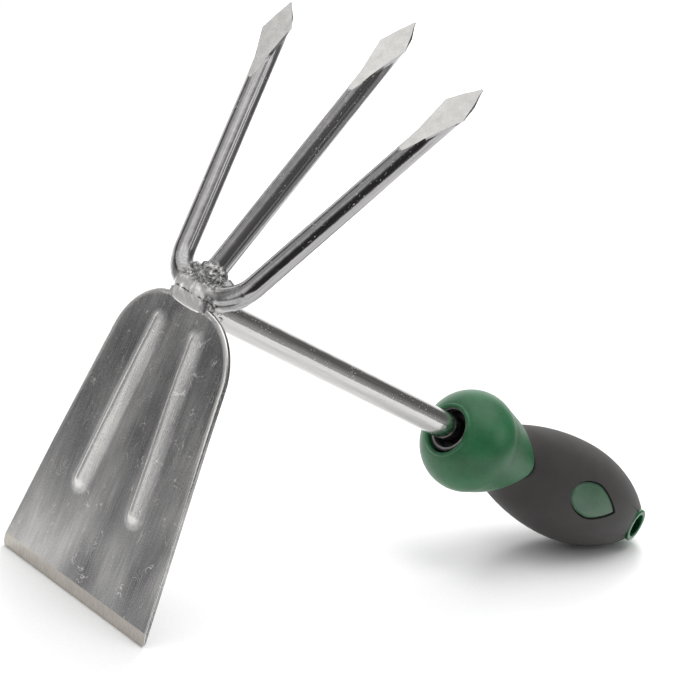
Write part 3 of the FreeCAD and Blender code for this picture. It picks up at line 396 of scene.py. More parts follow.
def section(d):
    """Outline across a tine at a distance from its point, as (towards the back, across) pairs."""
    front_x = -ROD + (ROD + FLAT_PAST) * max(1 - d / FLAT_LONG, 0.0)
    if front_x < -ROD * 0.9962:
        front_x = -ROD * 0.9962
    cut = math.acos(-front_x / ROD)
    rod_half = ROD * math.sin(cut)
    half = lance_half(d) if d < LANCE_BACK else max(rod_half, lance_half(d))
    deep = 1 - 0.93 * (1 - min(d / (LANCE_BACK + 0.6), 1.0)) ** 1.15
    points = []
    for k in range(FACE + 1):
        q = 2 * k / FACE - 1
        if d > FLAT_LONG - 0.2:
            points.append((-ROD * math.cos(q * cut), ROD * math.sin(q * cut)))
        else:
            points.append((front_x, q * half))
    back = AROUND - FACE
    for k in range(1, back):
        q = 1 - 2 * k / back
        turn = q * (math.pi - cut)
        x, y = ROD * math.cos(turn), ROD * math.sin(turn)
        y *= min(1.0, half / rod_half)
        y += math.copysign(max(half - rod_half, 0) * abs(q) ** 5, q)
        x = front_x + (x - front_x) * deep
        if d < FLAT_LONG - 4:
            x = max(x, front_x + WING * ease(FLAT_LONG - 4 - d, 0, 8) * min(1.0, 0.25 + d / 8))
        points.append((x, y))
    return points


def forge_rod(name, place, stations):
    """Rod through stations, each (centre, tangent's angle in the YZ plane, distance along, from the tip)."""
    bm = bmesh.new()
    straight = bm.verts.layers.float_vector.new("straight")
    ring = bmesh.ops.create_circle(bm, segments=AROUND, radius=ROD)["verts"]
    edges = list(bm.edges)
    for i, (centre, angle, along, from_tip) in enumerate(stations):
        if i:
            out = bmesh.ops.extrude_edge_only(bm, edges=edges)["geom"]
            new_faces = [g for g in out if isinstance(g, bmesh.types.BMFace)]
            partner = {}
            for face in new_faces:
                for edge in face.edges:
                    a, b = edge.verts
                    if (a in partner_of) != (b in partner_of):
                        partner[a if a in partner_of else b] = b if a in partner_of else a
            ring = [partner[v] for v in ring]
            edges = [g for g in out if isinstance(g, bmesh.types.BMEdge)]
            for face in new_faces:
                index = {v: k for k, v in enumerate(ring)}
                ids = sorted(index[v] for v in face.verts if v in index)
                flat = from_tip < FLAT_LONG - 0.6 and ids[-1] <= FACE
                face.material_index = 1 if flat else 0
        partner_of = set(ring)
        for vert, (x, y) in zip(ring, section(from_tip)):
            vert.co = Vector((x, centre[0] + y * math.cos(angle), centre[1] - y * math.sin(angle)))
            vert[straight] = Vector((x, y, along))
    bmesh.ops.holes_fill(bm, edges=[e for e in bm.edges if e.is_boundary])
    bmesh.ops.recalc_face_normals(bm, faces=bm.faces)
    made = finished(name, bm, place, [rod_polish, lance_ground], sharp=34)
    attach(made, "root")
    return made


# drawn and polished steel: mirror-like but slightly wavy, with draw lines along it and patches of tiny pits;
# without coords it follows the distance along a bent rod
def polished_rod(name, coords, dark, light, lines_along, speck_scale):
    material, tree, shader = new_material(name)
    if coords is None:
        own = node(tree, "Attribute", attribute_name="straight").outputs["Vector"]
    else:
        own = steel_coords(tree, coords).outputs[0]
    draw = noisy(tree, node(tree, "Mapping", {0: own, 3: lines_along}), 1.0, 5.0, Roughness=0.6)
    wave = noisy(tree, own, 0.16, 2.0)
    stretched = node(tree, "Mapping", {0: own, 3: speck_scale})
    pit_field = noisy(tree, stretched, 1.0, 2.0)
    pits = node(tree, "MapRange", {0: pit_field.outputs[0], 1: 0.665, 2: 0.71})
    some = noisy(tree, own, 0.11, 2.0)
    some = node(tree, "MapRange", {0: some, 1: 0.46, 2: 0.56})
    pits = node(tree, "Math", {0: pits.outputs[0], 1: some.outputs[0]}, operation="MULTIPLY")
    tint = node(tree, "ValToRGB", {0: draw.outputs[0]}, stops=[(0.32, dark), (0.68, light)])
    colour = node(tree, "Mix", {0: node(tree, "Math", {0: pits, 1: 0.5}, operation="MULTIPLY"),
                                6: tint.outputs[0], 7: linear("#F2F0EC")}, data_type="RGBA")
    tree.links.new(colour.outputs[2], shader.inputs["Base Color"])
    rough = node(tree, "MapRange", {0: draw.outputs[0], 3: 0.07, 4: 0.17})
    rough = node(tree, "Mix", {0: pits, 2: rough.outputs[0], 3: 0.5})
    tree.links.new(rough.outputs[0], shader.inputs["Roughness"])
    shader.inputs["Metallic"].default_value = 1.0
    bump = node(tree, "Bump", {"Height": wave.outputs[0], "Strength": 0.35, "Distance": 0.0004})
    bump = node(tree, "Bump", {"Height": draw.outputs[0], "Strength": 0.2, "Distance": 0.00005,
                               "Normal": bump.outputs[0]})
    bump = node(tree, "Bump", {"Height": pits, "Strength": 0.6, "Distance": 0.0001,
                               "Normal": bump.outputs[0]})
    tree.links.new(bump.outputs[0], shader.inputs["Normal"])
    return material


rod_polish = polished_rod("polished_stainless_rod", None, "#8F8E90", "#B6B4B3", (4.0, 4.0, 0.05),
                          (2.2, 2.2, 1.1))

# ground lance flats: pale satin, faint marks across
lance_ground, tree, shader = new_material("satin_ground_stainless")
own = node(tree, "Attribute", attribute_name="straight").outputs["Vector"]
stone = noisy(tree, node(tree, "Mapping", {0: own, 3: (1, 1.2, 0.5)}), 2.0, 5.0, Roughness=0.6)
blotch = noisy(tree, own, 0.25, 2.0)
both = node(tree, "Math", {0: stone.outputs[0], 1: blotch.outputs[0]}, operation="ADD")
tint = node(tree, "ValToRGB", {0: node(tree, "Math", {0: both, 1: 0.5}, operation="MULTIPLY")},
            stops=[(0.35, "#CECCCA"), (0.65, "#E8E6E3")])
tree.links.new(tint.outputs[0], shader.inputs["Base Color"])
rough = node(tree, "MapRange", {0: stone.outputs[0], 3: 0.2, 4: 0.36})
tree.links.new(rough.outputs[0], shader.inputs["Roughness"])
shader.inputs["Metallic"].default_value = 1.0
bump = node(tree, "Bump", {"Height": stone.outputs[0], "Strength": 0.22, "Distance": 0.00008})
tree.links.new(bump.outputs[0], shader.inputs["Normal"])

# distances from the point, closer together over the lance
STEPS = [0, .25, .6, 1.1, 1.7, 2.4, 3.2, 4, 4.9, 5.8, 6.7, 7.6, 8.5, 9.3, 10, 10.5, 10.9, 11.1, 11.4, 11.9]
STEPS += [12.6 + 0.85 * i for i in range(24)] + [32.6, 32.9, 33.2]

# middle tine: straight from inside the cross piece to its point
MID_HIGH = 119.4
MID_FOOT = 8.0
stations = [((0, MID_HIGH - d), 0.0, d, d) for d in STEPS + [34 + 2 * i for i in range(40)]]
stations.append(((0, MID_FOOT), 0.0, MID_HIGH - MID_FOOT, MID_HIGH - MID_FOOT))
middle_tine = forge_rod("middle_tine_rod", MIDDLE, stations)
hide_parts("centre_tine")

# outer tines: leg, bend, cross piece, bend and leg in one plane
LEG_TIP = (50.6, 105.9)
LEG_FOOT = 14.6
CROSS_Z = 4.6
BEND = 14.0
splay = math.atan2(LEG_TIP[0] - LEG_FOOT, LEG_TIP[1])
turn = math.pi / 2 - splay
corner_y = LEG_FOOT + CROSS_Z * math.tan(splay)
run = BEND * math.tan(turn / 2)
bend_start = (corner_y + run * math.sin(splay), CROSS_Z + run * math.cos(splay))
leg_long = math.hypot(LEG_TIP[0] - bend_start[0], LEG_TIP[1] - bend_start[1])
half_line = []
for d in STEPS + [34 + 2 * i for i in range(200) if 34 + 2 * i < leg_long - 0.5] + [leg_long]:
    half_line.append((LEG_TIP[0] - d * math.sin(splay), LEG_TIP[1] - d * math.cos(splay), splay, d))
bend_centre = (corner_y - run, CROSS_Z + BEND)
for i in range(1, 25):
    a = splay + turn * i / 24
    half_line.append((bend_centre[0] + BEND * math.cos(a), bend_centre[1] - BEND * math.sin(a), a,
                      leg_long + BEND * (a - splay)))
arc_end = half_line[-1][3]
for i in range(1, 6):
    y = bend_centre[0] * (1 - i / 5)
    half_line.append((y, CROSS_Z, math.pi / 2, arc_end + bend_centre[0] - y))
full = half_line[-1][3]
stations = [((-y, z), -a, d, d) for y, z, a, d in half_line]
stations += [((y, z), a - math.pi, 2 * full - d, d) for y, z, a, d in half_line[-2::-1]]
outer = forge_rod("outer_tines_rod", FORK, stations)
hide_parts("outer_tines")

# ---------------------------------------------------------------- shaft
# Round bar 10 mm thick, stainless, polished along its length; it runs from the hub into the handle.

shaft_polish = polished_rod("polished_stainless_bar", TOOL, "#B9B8B7", "#D2D0CE", (0.04, 3.0, 3.0),
                            (1.1, 2.2, 2.2))
nodes["shaft"].data.materials.clear()
nodes["shaft"].data.materials.append(shaft_polish)

# ---------------------------------------------------------------- hub welds
# The blade's tab, the U rod, the middle rod and the shaft meet in one knot of weld metal. Its front is ground
# smooth, with a painted highlight of near white over the neck; the bead between the tines and the patch over
# the shaft are left lumpy and dark.

bm = bmesh.new()


def ball(place, centre, radius, squash=(1, 1, 1)):
    """Adds a ball of metal at a point of the fork's, the middle tine's or the tool's frame."""
    shape = Matrix.Translation(centre) @ Matrix.Diagonal((*[radius * s for s in squash], 1))
    bmesh.ops.create_icosphere(bm, subdivisions=2 if radius < 3 else 3, radius=1.0,
                               matrix=TOOL.inverted() @ place @ shape)


# skin over the bends, the cross piece, the middle tine's foot and the shaft's end
for y, z, a, d in half_line:
    if d > leg_long - 2 and z < 17:
        thick = ROD + 0.42 - 0.6 * ease(z, 5.0, 15.0)
        ball(FORK, (0, y, z), thick)
        ball(FORK, (0, -y, z), thick)
for i in range(12):
    ball(FORK, (0, -9 + 18 * i / 11, CROSS_Z), ROD + 0.42)
for i in range(12):
    ball(MIDDLE, (0, 0, 8 + 0.9 * i), ROD + 0.5 - 0.7 * i / 11)
for i in range(8):
    ball(TOOL, (4.2 + i, 0, 0), 5.35 - 0.4 * i / 7)
# beads in the two crotches and over the middle tine's foot
for y, z, x, r, s in ((-8.6, 9.6, 0.2, 2.5, (1.2, 1.2, .9)), (8.4, 9.8, 0.2, 2.5, (1.2, 1.2, .9)),
                      (-5.6, 8.6, -0.6, 2.6, (1.2, 1, 1)), (5.4, 8.8, -0.6, 2.6, (1.2, 1, 1)),
                      (-1.9, 8.8, -1.4, 3.2, (1.0, 1, .9)), (2.2, 8.4, -1.2, 3.2, (1.0, 1, .9)),
                      (-4.6, 11.6, -0.8, 1.9, (1.1, 1, 1)), (4.4, 11.8, -0.8, 1.8, (1.1, 1, 1)),
                      (0.2, 11.2, -3.4, 1.9, (1, 1.2, 1))):
    ball(FORK, (x, y, z), r, s)
# collar between shaft, blade's back and cross piece
for y, z, x, r in ((-5.6, 0.5, 3.6, 2.6), (5.6, 0.5, 3.6, 2.6), (-4.6, 3.6, 4.6, 2.6), (4.6, 3.6, 4.6, 2.6),
                   (0, 4.6, 5.4, 2.8), (-4.2, -3.8, 3.0, 2.4), (4.2, -3.8, 3.0, 2.4), (0, -5.2, 2.6, 2.4),
                   (-8.4, 1.6, 1.2, 2.5), (8.4, 1.6, 1.2, 2.5), (-8.8, 2.4, -0.6, 2.0)):
    ball(TOOL, (x, y, z), r)
# blade's tab, drawn up over the cross piece in one crowned and waisted skin that thins into the blade's face
for i in range(13):
    t = i / 12
    thick = 4.2 - 3.1 * t
    wide = 8.2 + 2.4 * ease(t, 0.35, 1.0) + 0.8 * (1 - ease(t, 0, 0.3))
    for k in range(19):
        side = (k - 9) / 9
        front_x = -3.6 + 1.35 * t - 0.5 * math.sin(math.pi * t) + 2.3 * side ** 2 * (1 - t) * (1 - 0.5 * t)
        ball(TOOL, (front_x + thick, wide * side, 4.6 - (7.0 - 0.9 * side ** 2) * t), thick)

lump = bpy.data.meshes.new("lump")
bm.to_mesh(lump)
bm.free()
lump_object = bpy.data.objects.new("lump", lump)
bpy.context.scene.collection.objects.link(lump_object)
# the balls flow together into one skin
remesh = lump_object.modifiers.new("skin", "REMESH")
remesh.mode = "VOXEL"
remesh.voxel_size = 0.32
smooth = lump_object.modifiers.new("flow", "SMOOTH")
smooth.factor = 0.5
smooth.iterations = 9
bpy.context.view_layer.update()
skin = bpy.data.meshes.new_from_object(lump_object.evaluated_get(bpy.context.evaluated_depsgraph_get()))
bpy.data.objects.remove(lump_object)
bm = bmesh.new()
bm.from_mesh(skin)
bpy.data.meshes.remove(skin)
rough_zone = bm.verts.layers.float.new("rough_zone")
neck_highlight_zone = bm.verts.layers.float.new("neck_highlight_zone")
bm.normal_update()
shifts = []
for vert in bm.verts:
    x, y, z = vert.co
    crotch = ease(z, 5.2, 6.8) * (1 - ease(z, 12.5, 15)) * (1 - ease(abs(y), 8.5, 10.5))
    patch = ease(-y, 5.5, 7.5) * (1 - ease(-y, 10.5, 12)) * (1 - ease(z, 3.5, 5.0)) * ease(z, -3.5, -1.5)
    behind = ease(x, 2.0, 4.0) * (1 - ease(abs(z), 6, 8)) * (1 - ease(x, 10, 12.5))
    zone = max(crotch, patch, behind)
    # the neck: dented, and later painted near white as a highlight
    neck = (1 - ease(abs(y), 8, 13)) * (1 - ease(z, 5, 8))
    reach = ease(z, -2.4, 0.5)
    lumps = 0.45 * noise.noise(vert.co * 0.5) + 0.24 * noise.noise(vert.co * 1.1)
    lumps += 0.05 * noise.noise(vert.co * 2.6)
    dents = 0.42 * noise.noise(vert.co * 0.3) + 0.12 * noise.noise(vert.co * 0.8)
    shifts.append((vert, vert.normal * (lumps * zone + dents * neck * reach), zone, neck))
for vert, move, zone, neck in shifts:
    vert.co += move
    vert[rough_zone] = zone
    vert[neck_highlight_zone] = neck

# weld metal: ground smooth and painted near white over the neck as a highlight; dark and pitted where it was
# left as it set
weld_metal, tree, shader = new_material("weld_ground_and_left")
own = steel_coords(tree, TOOL)
zone = node(tree, "Attribute", attribute_name="rough_zone").outputs["Fac"]
crust = noisy(tree, own, 0.9, 6.0, Roughness=0.65)
dark = node(tree, "ValToRGB", {0: crust.outputs[0]},
            stops=[(0.36, "#5A595B"), (0.5, "#949393"), (0.64, "#CFCECC")])
# painted highlight: the ground neck is painted near white where it catches the light
ground_and_highlight = node(tree, "ValToRGB", {0: crust.outputs[0]}, stops=[(0.3, "#EDEBE9"), (0.7, "#FBFAF8")])
drawn = node(tree, "ValToRGB", {0: crust.outputs[0]}, stops=[(0.3, "#8F8E90"), (0.7, "#B0AFAE")])
on_neck_highlight = node(tree, "Attribute", attribute_name="neck_highlight_zone").outputs["Fac"]
ground_and_highlight = node(tree, "Mix", {0: on_neck_highlight, 6: drawn.outputs[0], 7: ground_and_highlight.outputs[0]}, data_type="RGBA")
colour = node(tree, "Mix", {0: zone, 6: ground_and_highlight.outputs[2], 7: dark.outputs[0]}, data_type="RGBA")
# dashed line where the tab meets the rod
place = node(tree, "SeparateXYZ", {0: own})
along_seam = node(tree, "Mapping", {0: own, 3: (0.2, 0.8, 0.2)})
dashes = noisy(tree, along_seam, 1.0, 3.0)
wander = node(tree, "Math", {0: dashes.outputs[0], 1: 1.6, 2: 1.0}, operation="MULTIPLY_ADD")
gap = node(tree, "Math", {0: place.outputs[2], 1: wander}, operation="SUBTRACT")
gap = node(tree, "Math", {0: gap}, operation="ABSOLUTE")
gap = node(tree, "MapRange", {0: gap, 1: 0.3, 2: 0.12})
broken = node(tree, "MapRange", {0: dashes.outputs[0], 1: 0.47, 2: 0.5})
seam = node(tree, "Math", {0: gap.outputs[0], 1: broken.outputs[0]}, operation="MULTIPLY")
front_only = node(tree, "MapRange", {0: place.outputs[0], 1: -0.5, 2: -1.2})
seam = node(tree, "Math", {0: seam, 1: front_only.outputs[0]}, operation="MULTIPLY")
colour = node(tree, "Mix", {0: seam, 6: colour.outputs[2], 7: linear("#4A4A4A")}, data_type="RGBA")
tree.links.new(colour.outputs[2], shader.inputs["Base Color"])
left_rough = node(tree, "MapRange", {0: crust.outputs[0], 1: 0.3, 2: 0.7, 3: 0.38, 4: 0.16})
ground = node(tree, "Mix", {0: on_neck_highlight, 2: 0.11, 3: 0.36})
rough = node(tree, "Mix", {0: zone, 2: ground.outputs[0], 3: left_rough.outputs[0]})
tree.links.new(rough.outputs[0], shader.inputs["Roughness"])
shader.inputs["Metallic"].default_value = 1.0
deep = node(tree, "Math", {0: zone, 1: 0.42, 2: 0.08}, operation="MULTIPLY_ADD")
bump = node(tree, "Bump", {"Height": crust.outputs[0], "Strength": deep, "Distance": 0.0006})
tree.links.new(bump.outputs[0], shader.inputs["Normal"])

weld = finished("hub_weld_skin", bm, TOOL, [weld_metal], sharp=180)
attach(weld, "root")
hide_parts("tine_weld", "blade_weld", "shaft_weld")

# ---------------------------------------------------------------- handle's hard core
# Moulded in half-gloss green plastic: a front bulb that ends in a tongue on each side, a thin spine under the
# grip, and the tip with a raised eye round the hang hole.

# all in the tool's frame: places along the shaft, radii, and circles that touch each other in turn
AXIS_Z = -1.0
BULB_X, BULB_CORE, BULB_RAD = 151.5, 4.9, 14.0
WAIST_RAD = 20.0
GRIP_X, GRIP_RAD, FORE_RAD, AFT_RAD = 212.0, 19.5, 120.0, 78.0
END_RAD = 4.5
MOUTH_X = 138.7
BUSH_RAD = 8.6
LIP_RISE = 0.7
SLEEVE = 3.0
TONGUE_X, TONGUE_Z, TONGUE_NOSE = 175.0, 1.0, 5.0
BOSS_RAD, TIP_X = 7.0, 251.5
HOLE_RAD = 4.5
fore_y = GRIP_RAD - FORE_RAD
aft_y = GRIP_RAD - AFT_RAD
span = math.hypot(GRIP_X - BULB_X, fore_y - BULB_CORE)
ux, uy = (GRIP_X - BULB_X) / span, (fore_y - BULB_CORE) / span
reach_a, reach_b = BULB_RAD + WAIST_RAD, FORE_RAD + WAIST_RAD
along = (reach_a ** 2 - reach_b ** 2 + span ** 2) / (2 * span)
off = math.sqrt(reach_a ** 2 - along ** 2)
waist = (BULB_X + along * ux - off * uy, BULB_CORE + along * uy + off * ux)
end_x = GRIP_X + math.sqrt((AFT_RAD - END_RAD) ** 2 - aft_y ** 2)
bulb_to_waist = BULB_X + (waist[0] - BULB_X) * BULB_RAD / reach_a
waist_to_grip = GRIP_X + (waist[0] - GRIP_X) * FORE_RAD / reach_b
grip_to_end = GRIP_X + (end_x - GRIP_X) * AFT_RAD / (AFT_RAD - END_RAD)


def radius(x):
    """Handle's radius about its own axis: bulb, waist, grip and rounded end, each an arc."""
    if x < bulb_to_waist:
        return BULB_CORE + math.sqrt(max(BULB_RAD ** 2 - (x - BULB_X) ** 2, 0))
    if x < waist_to_grip:
        return waist[1] - math.sqrt(WAIST_RAD ** 2 - (x - waist[0]) ** 2)
    if x < GRIP_X:
        return fore_y + math.sqrt(FORE_RAD ** 2 - (x - GRIP_X) ** 2)
    if x < grip_to_end:
        return aft_y + math.sqrt(AFT_RAD ** 2 - (x - GRIP_X) ** 2)
    return math.sqrt(max(END_RAD ** 2 - (x - end_x) ** 2, 0))


def tongue_edge(angle):
    """Where the bulb ends along the handle, at an angle round it: 45 degree edges and a rounded nose."""
    x = 165.0
    for _ in range(8):
        dz = abs(AXIS_Z + radius(x) * math.sin(angle) - TONGUE_Z)
        corner = TONGUE_NOSE * math.sqrt(0.5)
        if dz < corner:
            x = TONGUE_X - TONGUE_NOSE + math.sqrt(TONGUE_NOSE ** 2 - dz ** 2)
        else:
            x = TONGUE_X - TONGUE_NOSE + corner - (dz - corner)
    return x


def boss_edge(angle):
    """Where the sleeve ends near the tail: round the boss on each side, straight elsewhere."""
    x = TIP_X
    for _ in range(12):
        dz = abs(radius(x) * math.sin(angle))
        x = HANG_HOLE[0] - math.sqrt(BOSS_RAD ** 2 - dz ** 2) if dz < BOSS_RAD - 0.01 else TIP_X
        if dz >= math.sqrt(BOSS_RAD ** 2 - (TIP_X - HANG_HOLE[0]) ** 2):
            x = TIP_X
    return x


def step_down(x, angle):
    """How far the sleeve lies below the bulb just behind its edge; nothing at the tongue's nose."""
    return 0.8 * abs(math.sin(angle)) ** 1.5 * (1 - ease(x - tongue_edge(angle), 0, 14))


def spun(line, turns, closed=False):
    """Surface of revolution about the handle's axis; each vertex keeps its place along the line."""
    bm = bmesh.new()
    place = bm.verts.layers.float.new("place")
    made = []
    for i in range(line):
        vert = bm.verts.new((i, 1.0, 0))
        vert[place] = i
        made.append(vert)
    edges = [bm.edges.new(pair) for pair in zip(made, made[1:])]
    if closed:
        edges.append(bm.edges.new((made[-1], made[0])))
    bmesh.ops.spin(bm, geom=made + edges, cent=(0, 0, 0), axis=(1, 0, 0), angle=2 * math.pi, steps=turns,
                   use_merge=True)
    return bm, place


def laid(bm, place, line):
    """Moves each vertex of a spun surface to its place on the line, which may change with the angle."""
    lines = {}
    for vert in bm.verts:
        angle = math.atan2(vert.co.z, vert.co.y)
        key = round(angle, 5)
        if key not in lines:
            lines[key] = line(angle)
        x, r = lines[key][round(vert[place])]
        vert.co = Vector((x, r * math.cos(angle), AXIS_Z + r * math.sin(angle)))
    bmesh.ops.remove_doubles(bm, verts=bm.verts, dist=0.002)
    bmesh.ops.recalc_face_normals(bm, faces=bm.faces)


# rounded edge: (distance back from the edge, depth below the surface)
ROUNDED = [(1.4, 0.0), (0.8, 0.03), (0.45, 0.1), (0.22, 0.22), (0.08, 0.38), (0.0, 0.6)]


def tongue(x):
    """Bulb's and tongue's radius: the tongue bridges most of the waist and meets the grip at its nose."""
    foot = 154.0
    if not foot < x < TONGUE_X:
        return radius(x)
    chord = radius(foot) + (radius(TONGUE_X) - radius(foot)) * (x - foot) / (TONGUE_X - foot)
    return radius(x) + 0.86 * max(chord - radius(x), 0) * ease(x, foot, foot + 6)


def core_line(angle):
    """The core's outline at an angle round it: bush's seat, lip, bulb, spine and tip."""
    front, rear = tongue_edge(angle), boss_edge(angle)
    wobble = 0.06 * noise.noise(Vector((math.cos(angle) * 3.1, math.sin(angle) * 3.1, 0.7)))
    lip_x = MOUTH_X - LIP_RISE
    line = [(MOUTH_X + 14, 0), (MOUTH_X + 14, BUSH_RAD), (MOUTH_X, BUSH_RAD), (lip_x + 0.35, BUSH_RAD)]
    line += [(lip_x + 0.08 - wobble, BUSH_RAD + 0.15), (lip_x - wobble, BUSH_RAD + 0.4),
             (lip_x - wobble, BUSH_RAD + 0.9), (lip_x + 0.12 + wobble, BUSH_RAD + 1.2),
             (MOUTH_X - 0.1, BUSH_RAD + 1.5), (MOUTH_X + 0.1, BUSH_RAD + 1.95)]
    for i in range(1, 34):
        a = math.radians(156 - 88 * i / 33)
        line.append((BULB_X + BULB_RAD * math.cos(a), BULB_CORE + BULB_RAD * math.sin(a)))
    start = line[-1][0]
    for i in range(1, 25):
        x = start + (front - 1.8 - start) * i / 24
        line.append((x, tongue(x)))
    line += [(front - d, tongue(front - d) - sunk) for d, sunk in ROUNDED]
    line.append((front, radius(front) - SLEEVE))
    for i in range(1, 9):
        x = front + (rear - front) * i / 9
        line.append((x, radius(x) - SLEEVE))
    line.append((rear, radius(rear) - SLEEVE))
    line += [(rear + d * 0.6, radius(rear + d * 0.6) - sunk * 0.6) for d, sunk in ROUNDED[::-1]]
    for i in range(1, 15):
        x = rear + 0.9 + (end_x - rear - 0.9) * i / 14
        line.append((x, radius(x)))
    for i in range(1, 11):
        a = math.pi / 2 * (1 - i / 10)
        x = end_x + END_RAD * math.cos(a)
        line.append((x, radius(x) if i < 10 else 0.0))
    return line


def carve(bm, cutters):
    """Takes closed cutter meshes away from a mesh."""
    pair = []
    for name, part in (("body", bm), ("tool", cutters)):
        mesh = bpy.data.meshes.new(name)
        part.to_mesh(mesh)
        part.free()
        pair.append(bpy.data.objects.new(name, mesh))
        bpy.context.scene.collection.objects.link(pair[-1])
    cut = pair[0].modifiers.new("cut", "BOOLEAN")
    cut.object = pair[1]
    cut.solver = "EXACT"
    bpy.context.view_layer.update()
    carved = bpy.data.meshes.new_from_object(pair[0].evaluated_get(bpy.context.evaluated_depsgraph_get()))
    result = bmesh.new()
    result.from_mesh(carved)
    for thing in pair:
        bpy.data.objects.remove(thing)
    return result


bm, place = spun(len(core_line(0.0)), 240)
laid(bm, place, core_line)


def lathe_hole(loops, caps):
    """Rings about the hang hole's axis, each a (radius, place along Y), joined in turn and closed."""
    made = bmesh.new()
    turned = Matrix.Translation((HANG_HOLE[0], 0, HANG_HOLE[2])) @ Matrix.Rotation(math.pi / 2, 4, "X")
    ring = bmesh.ops.create_circle(made, segments=72, radius=1.0, matrix=turned)["verts"]
    edges = list(made.edges)
    first = list(edges)
    for k, (r, y) in enumerate(loops):
        if k:
            out = bmesh.ops.extrude_edge_only(made, edges=edges)["geom"]
            edges = [g for g in out if isinstance(g, bmesh.types.BMEdge)]
            ring = [g for g in out if isinstance(g, bmesh.types.BMVert)]
        for vert in ring:
            away = Vector((vert.co.x - HANG_HOLE[0], vert.co.z - HANG_HOLE[2])).normalized() * r
            vert.co = Vector((HANG_HOLE[0] + away.x, y, HANG_HOLE[2] + away.y))
    if caps:
        bmesh.ops.holes_fill(made, edges=[e for e in made.edges if e.is_boundary])
    else:
        bmesh.ops.bridge_loops(made, edges=first + edges)
    bmesh.ops.recalc_face_normals(made, faces=made.faces)
    return made


hole = lathe_hole([(HOLE_RAD, -20), (HOLE_RAD, -10), (HOLE_RAD, 10), (HOLE_RAD, 20)], True)
bm = carve(bm, hole)
# raised eye round the hole on each side, its face sloping down towards the end
EYE_RAD, EYE_HIGH, EYE_SLOPE = 6.5, 11.35, 0.44
for side in (1, -1):
    eye = lathe_hole([(EYE_RAD, 4), (EYE_RAD, 11), (EYE_RAD, EYE_HIGH - 0.6),
                      (EYE_RAD - 0.12, EYE_HIGH - 0.25), (EYE_RAD - 0.4, EYE_HIGH),
                      (HOLE_RAD + 0.5, EYE_HIGH), (HOLE_RAD + 0.15, EYE_HIGH - 0.15),
                      (HOLE_RAD, EYE_HIGH - 0.5), (HOLE_RAD, 4)], False)
    for vert in eye.verts:
        vert.co.y = side * (vert.co.y - EYE_SLOPE * (vert.co.x - HANG_HOLE[0]) * ease(vert.co.y, 4, 11))
    bmesh.ops.recalc_face_normals(eye, faces=eye.faces)
    part = bpy.data.meshes.new("eye")
    eye.to_mesh(part)
    eye.free()
    bm.from_mesh(part)
    bpy.data.meshes.remove(part)


# injection-moulded plastic: a slightly mottled colour under a faint orange-peel, with an uneven gloss
def moulded(name, dark, light, gloss_low, gloss_high, grain_mm, depth):
    material, tree, shader = new_material(name)
    own = steel_coords(tree, TOOL)
    mottle = noisy(tree, own, 0.09, 4.0)
    peel = noisy(tree, own, 1 / grain_mm, 3.0)
    speck = noisy(tree, own, 2.0 / grain_mm, 2.0)
    mixed = node(tree, "Math", {0: mottle.outputs[0], 1: node(tree, "Math", {0: peel.outputs[0], 1: 0.35},
                                                              operation="MULTIPLY")}, operation="ADD")
    tint = node(tree, "ValToRGB", {0: mixed}, stops=[(0.5, dark), (0.85, light)])
    tree.links.new(tint.outputs[0], shader.inputs["Base Color"])
    rough = node(tree, "MapRange", {0: speck.outputs[0], 1: 0.3, 2: 0.7, 3: gloss_low, 4: gloss_high})
    tree.links.new(rough.outputs[0], shader.inputs["Roughness"])
    relief = node(tree, "Math", {0: peel.outputs[0], 1: speck.outputs[0]}, operation="ADD")
    bump = node(tree, "Bump", {"Height": relief, "Strength": 0.5, "Distance": depth})
    tree.links.new(bump.outputs[0], shader.inputs["Normal"])
    return material, tree, shader


green, tree, shader = moulded("moulded_green_polypropylene", "#1D5734", "#296A42", 0.30, 0.42, 0.9, 0.00006)
shader.inputs["IOR"].default_value = 1.49
core = finished("handle_hard_core", bm, TOOL, [green])
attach(core, "root")
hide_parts("handle_core")

# ---------------------------------------------------------------- soft grip
# Matt grey thermoplastic rubber moulded over the core, with a leaf-shaped opening on each side for the
# badge. It is 3 mm thick and lies a little below the bulb at the top and bottom.


def sleeve_line(angle):
    """The sleeve's outline at an angle round it: outside from bulb to tip, and back along the core."""
    front, rear = tongue_edge(angle) + 0.45, boss_edge(angle) - 0.2
    line = [(front + d * 0.8, radius(front + d * 0.8) - step_down(front + d * 0.8, angle) - sunk)
            for d, sunk in ROUNDED[::-1]]
    for i in range(1, 90):
        x = front + 1.5 + (rear - 1.3 - front - 1.5) * i / 89
        line.append((x, radius(x) - step_down(x, angle)))
    line += [(rear - d * 0.8, radius(rear - d * 0.8) - sunk * 0.8) for d, sunk in ROUNDED]
    for i in range(12):
        x = rear + (front - rear) * i / 11
        line.append((x, radius(x) - SLEEVE + 0.05))
    return line


BADGE_X0, BADGE_LONG, BADGE_HALF, BADGE_Z = 208.5 - 13.25, 26.5, 6.5, 0.2


def leaf_half(t):
    """Badge's half width as a share of its widest, from its blunt front end to its pointed rear."""
    if t < 0.5:
        return math.sqrt(max(1 - ((0.5 - t) / 0.5) ** 2.2, 0)) ** 1.1
    return max(1 - ((t - 0.5) / 0.5) ** 1.5, 0)


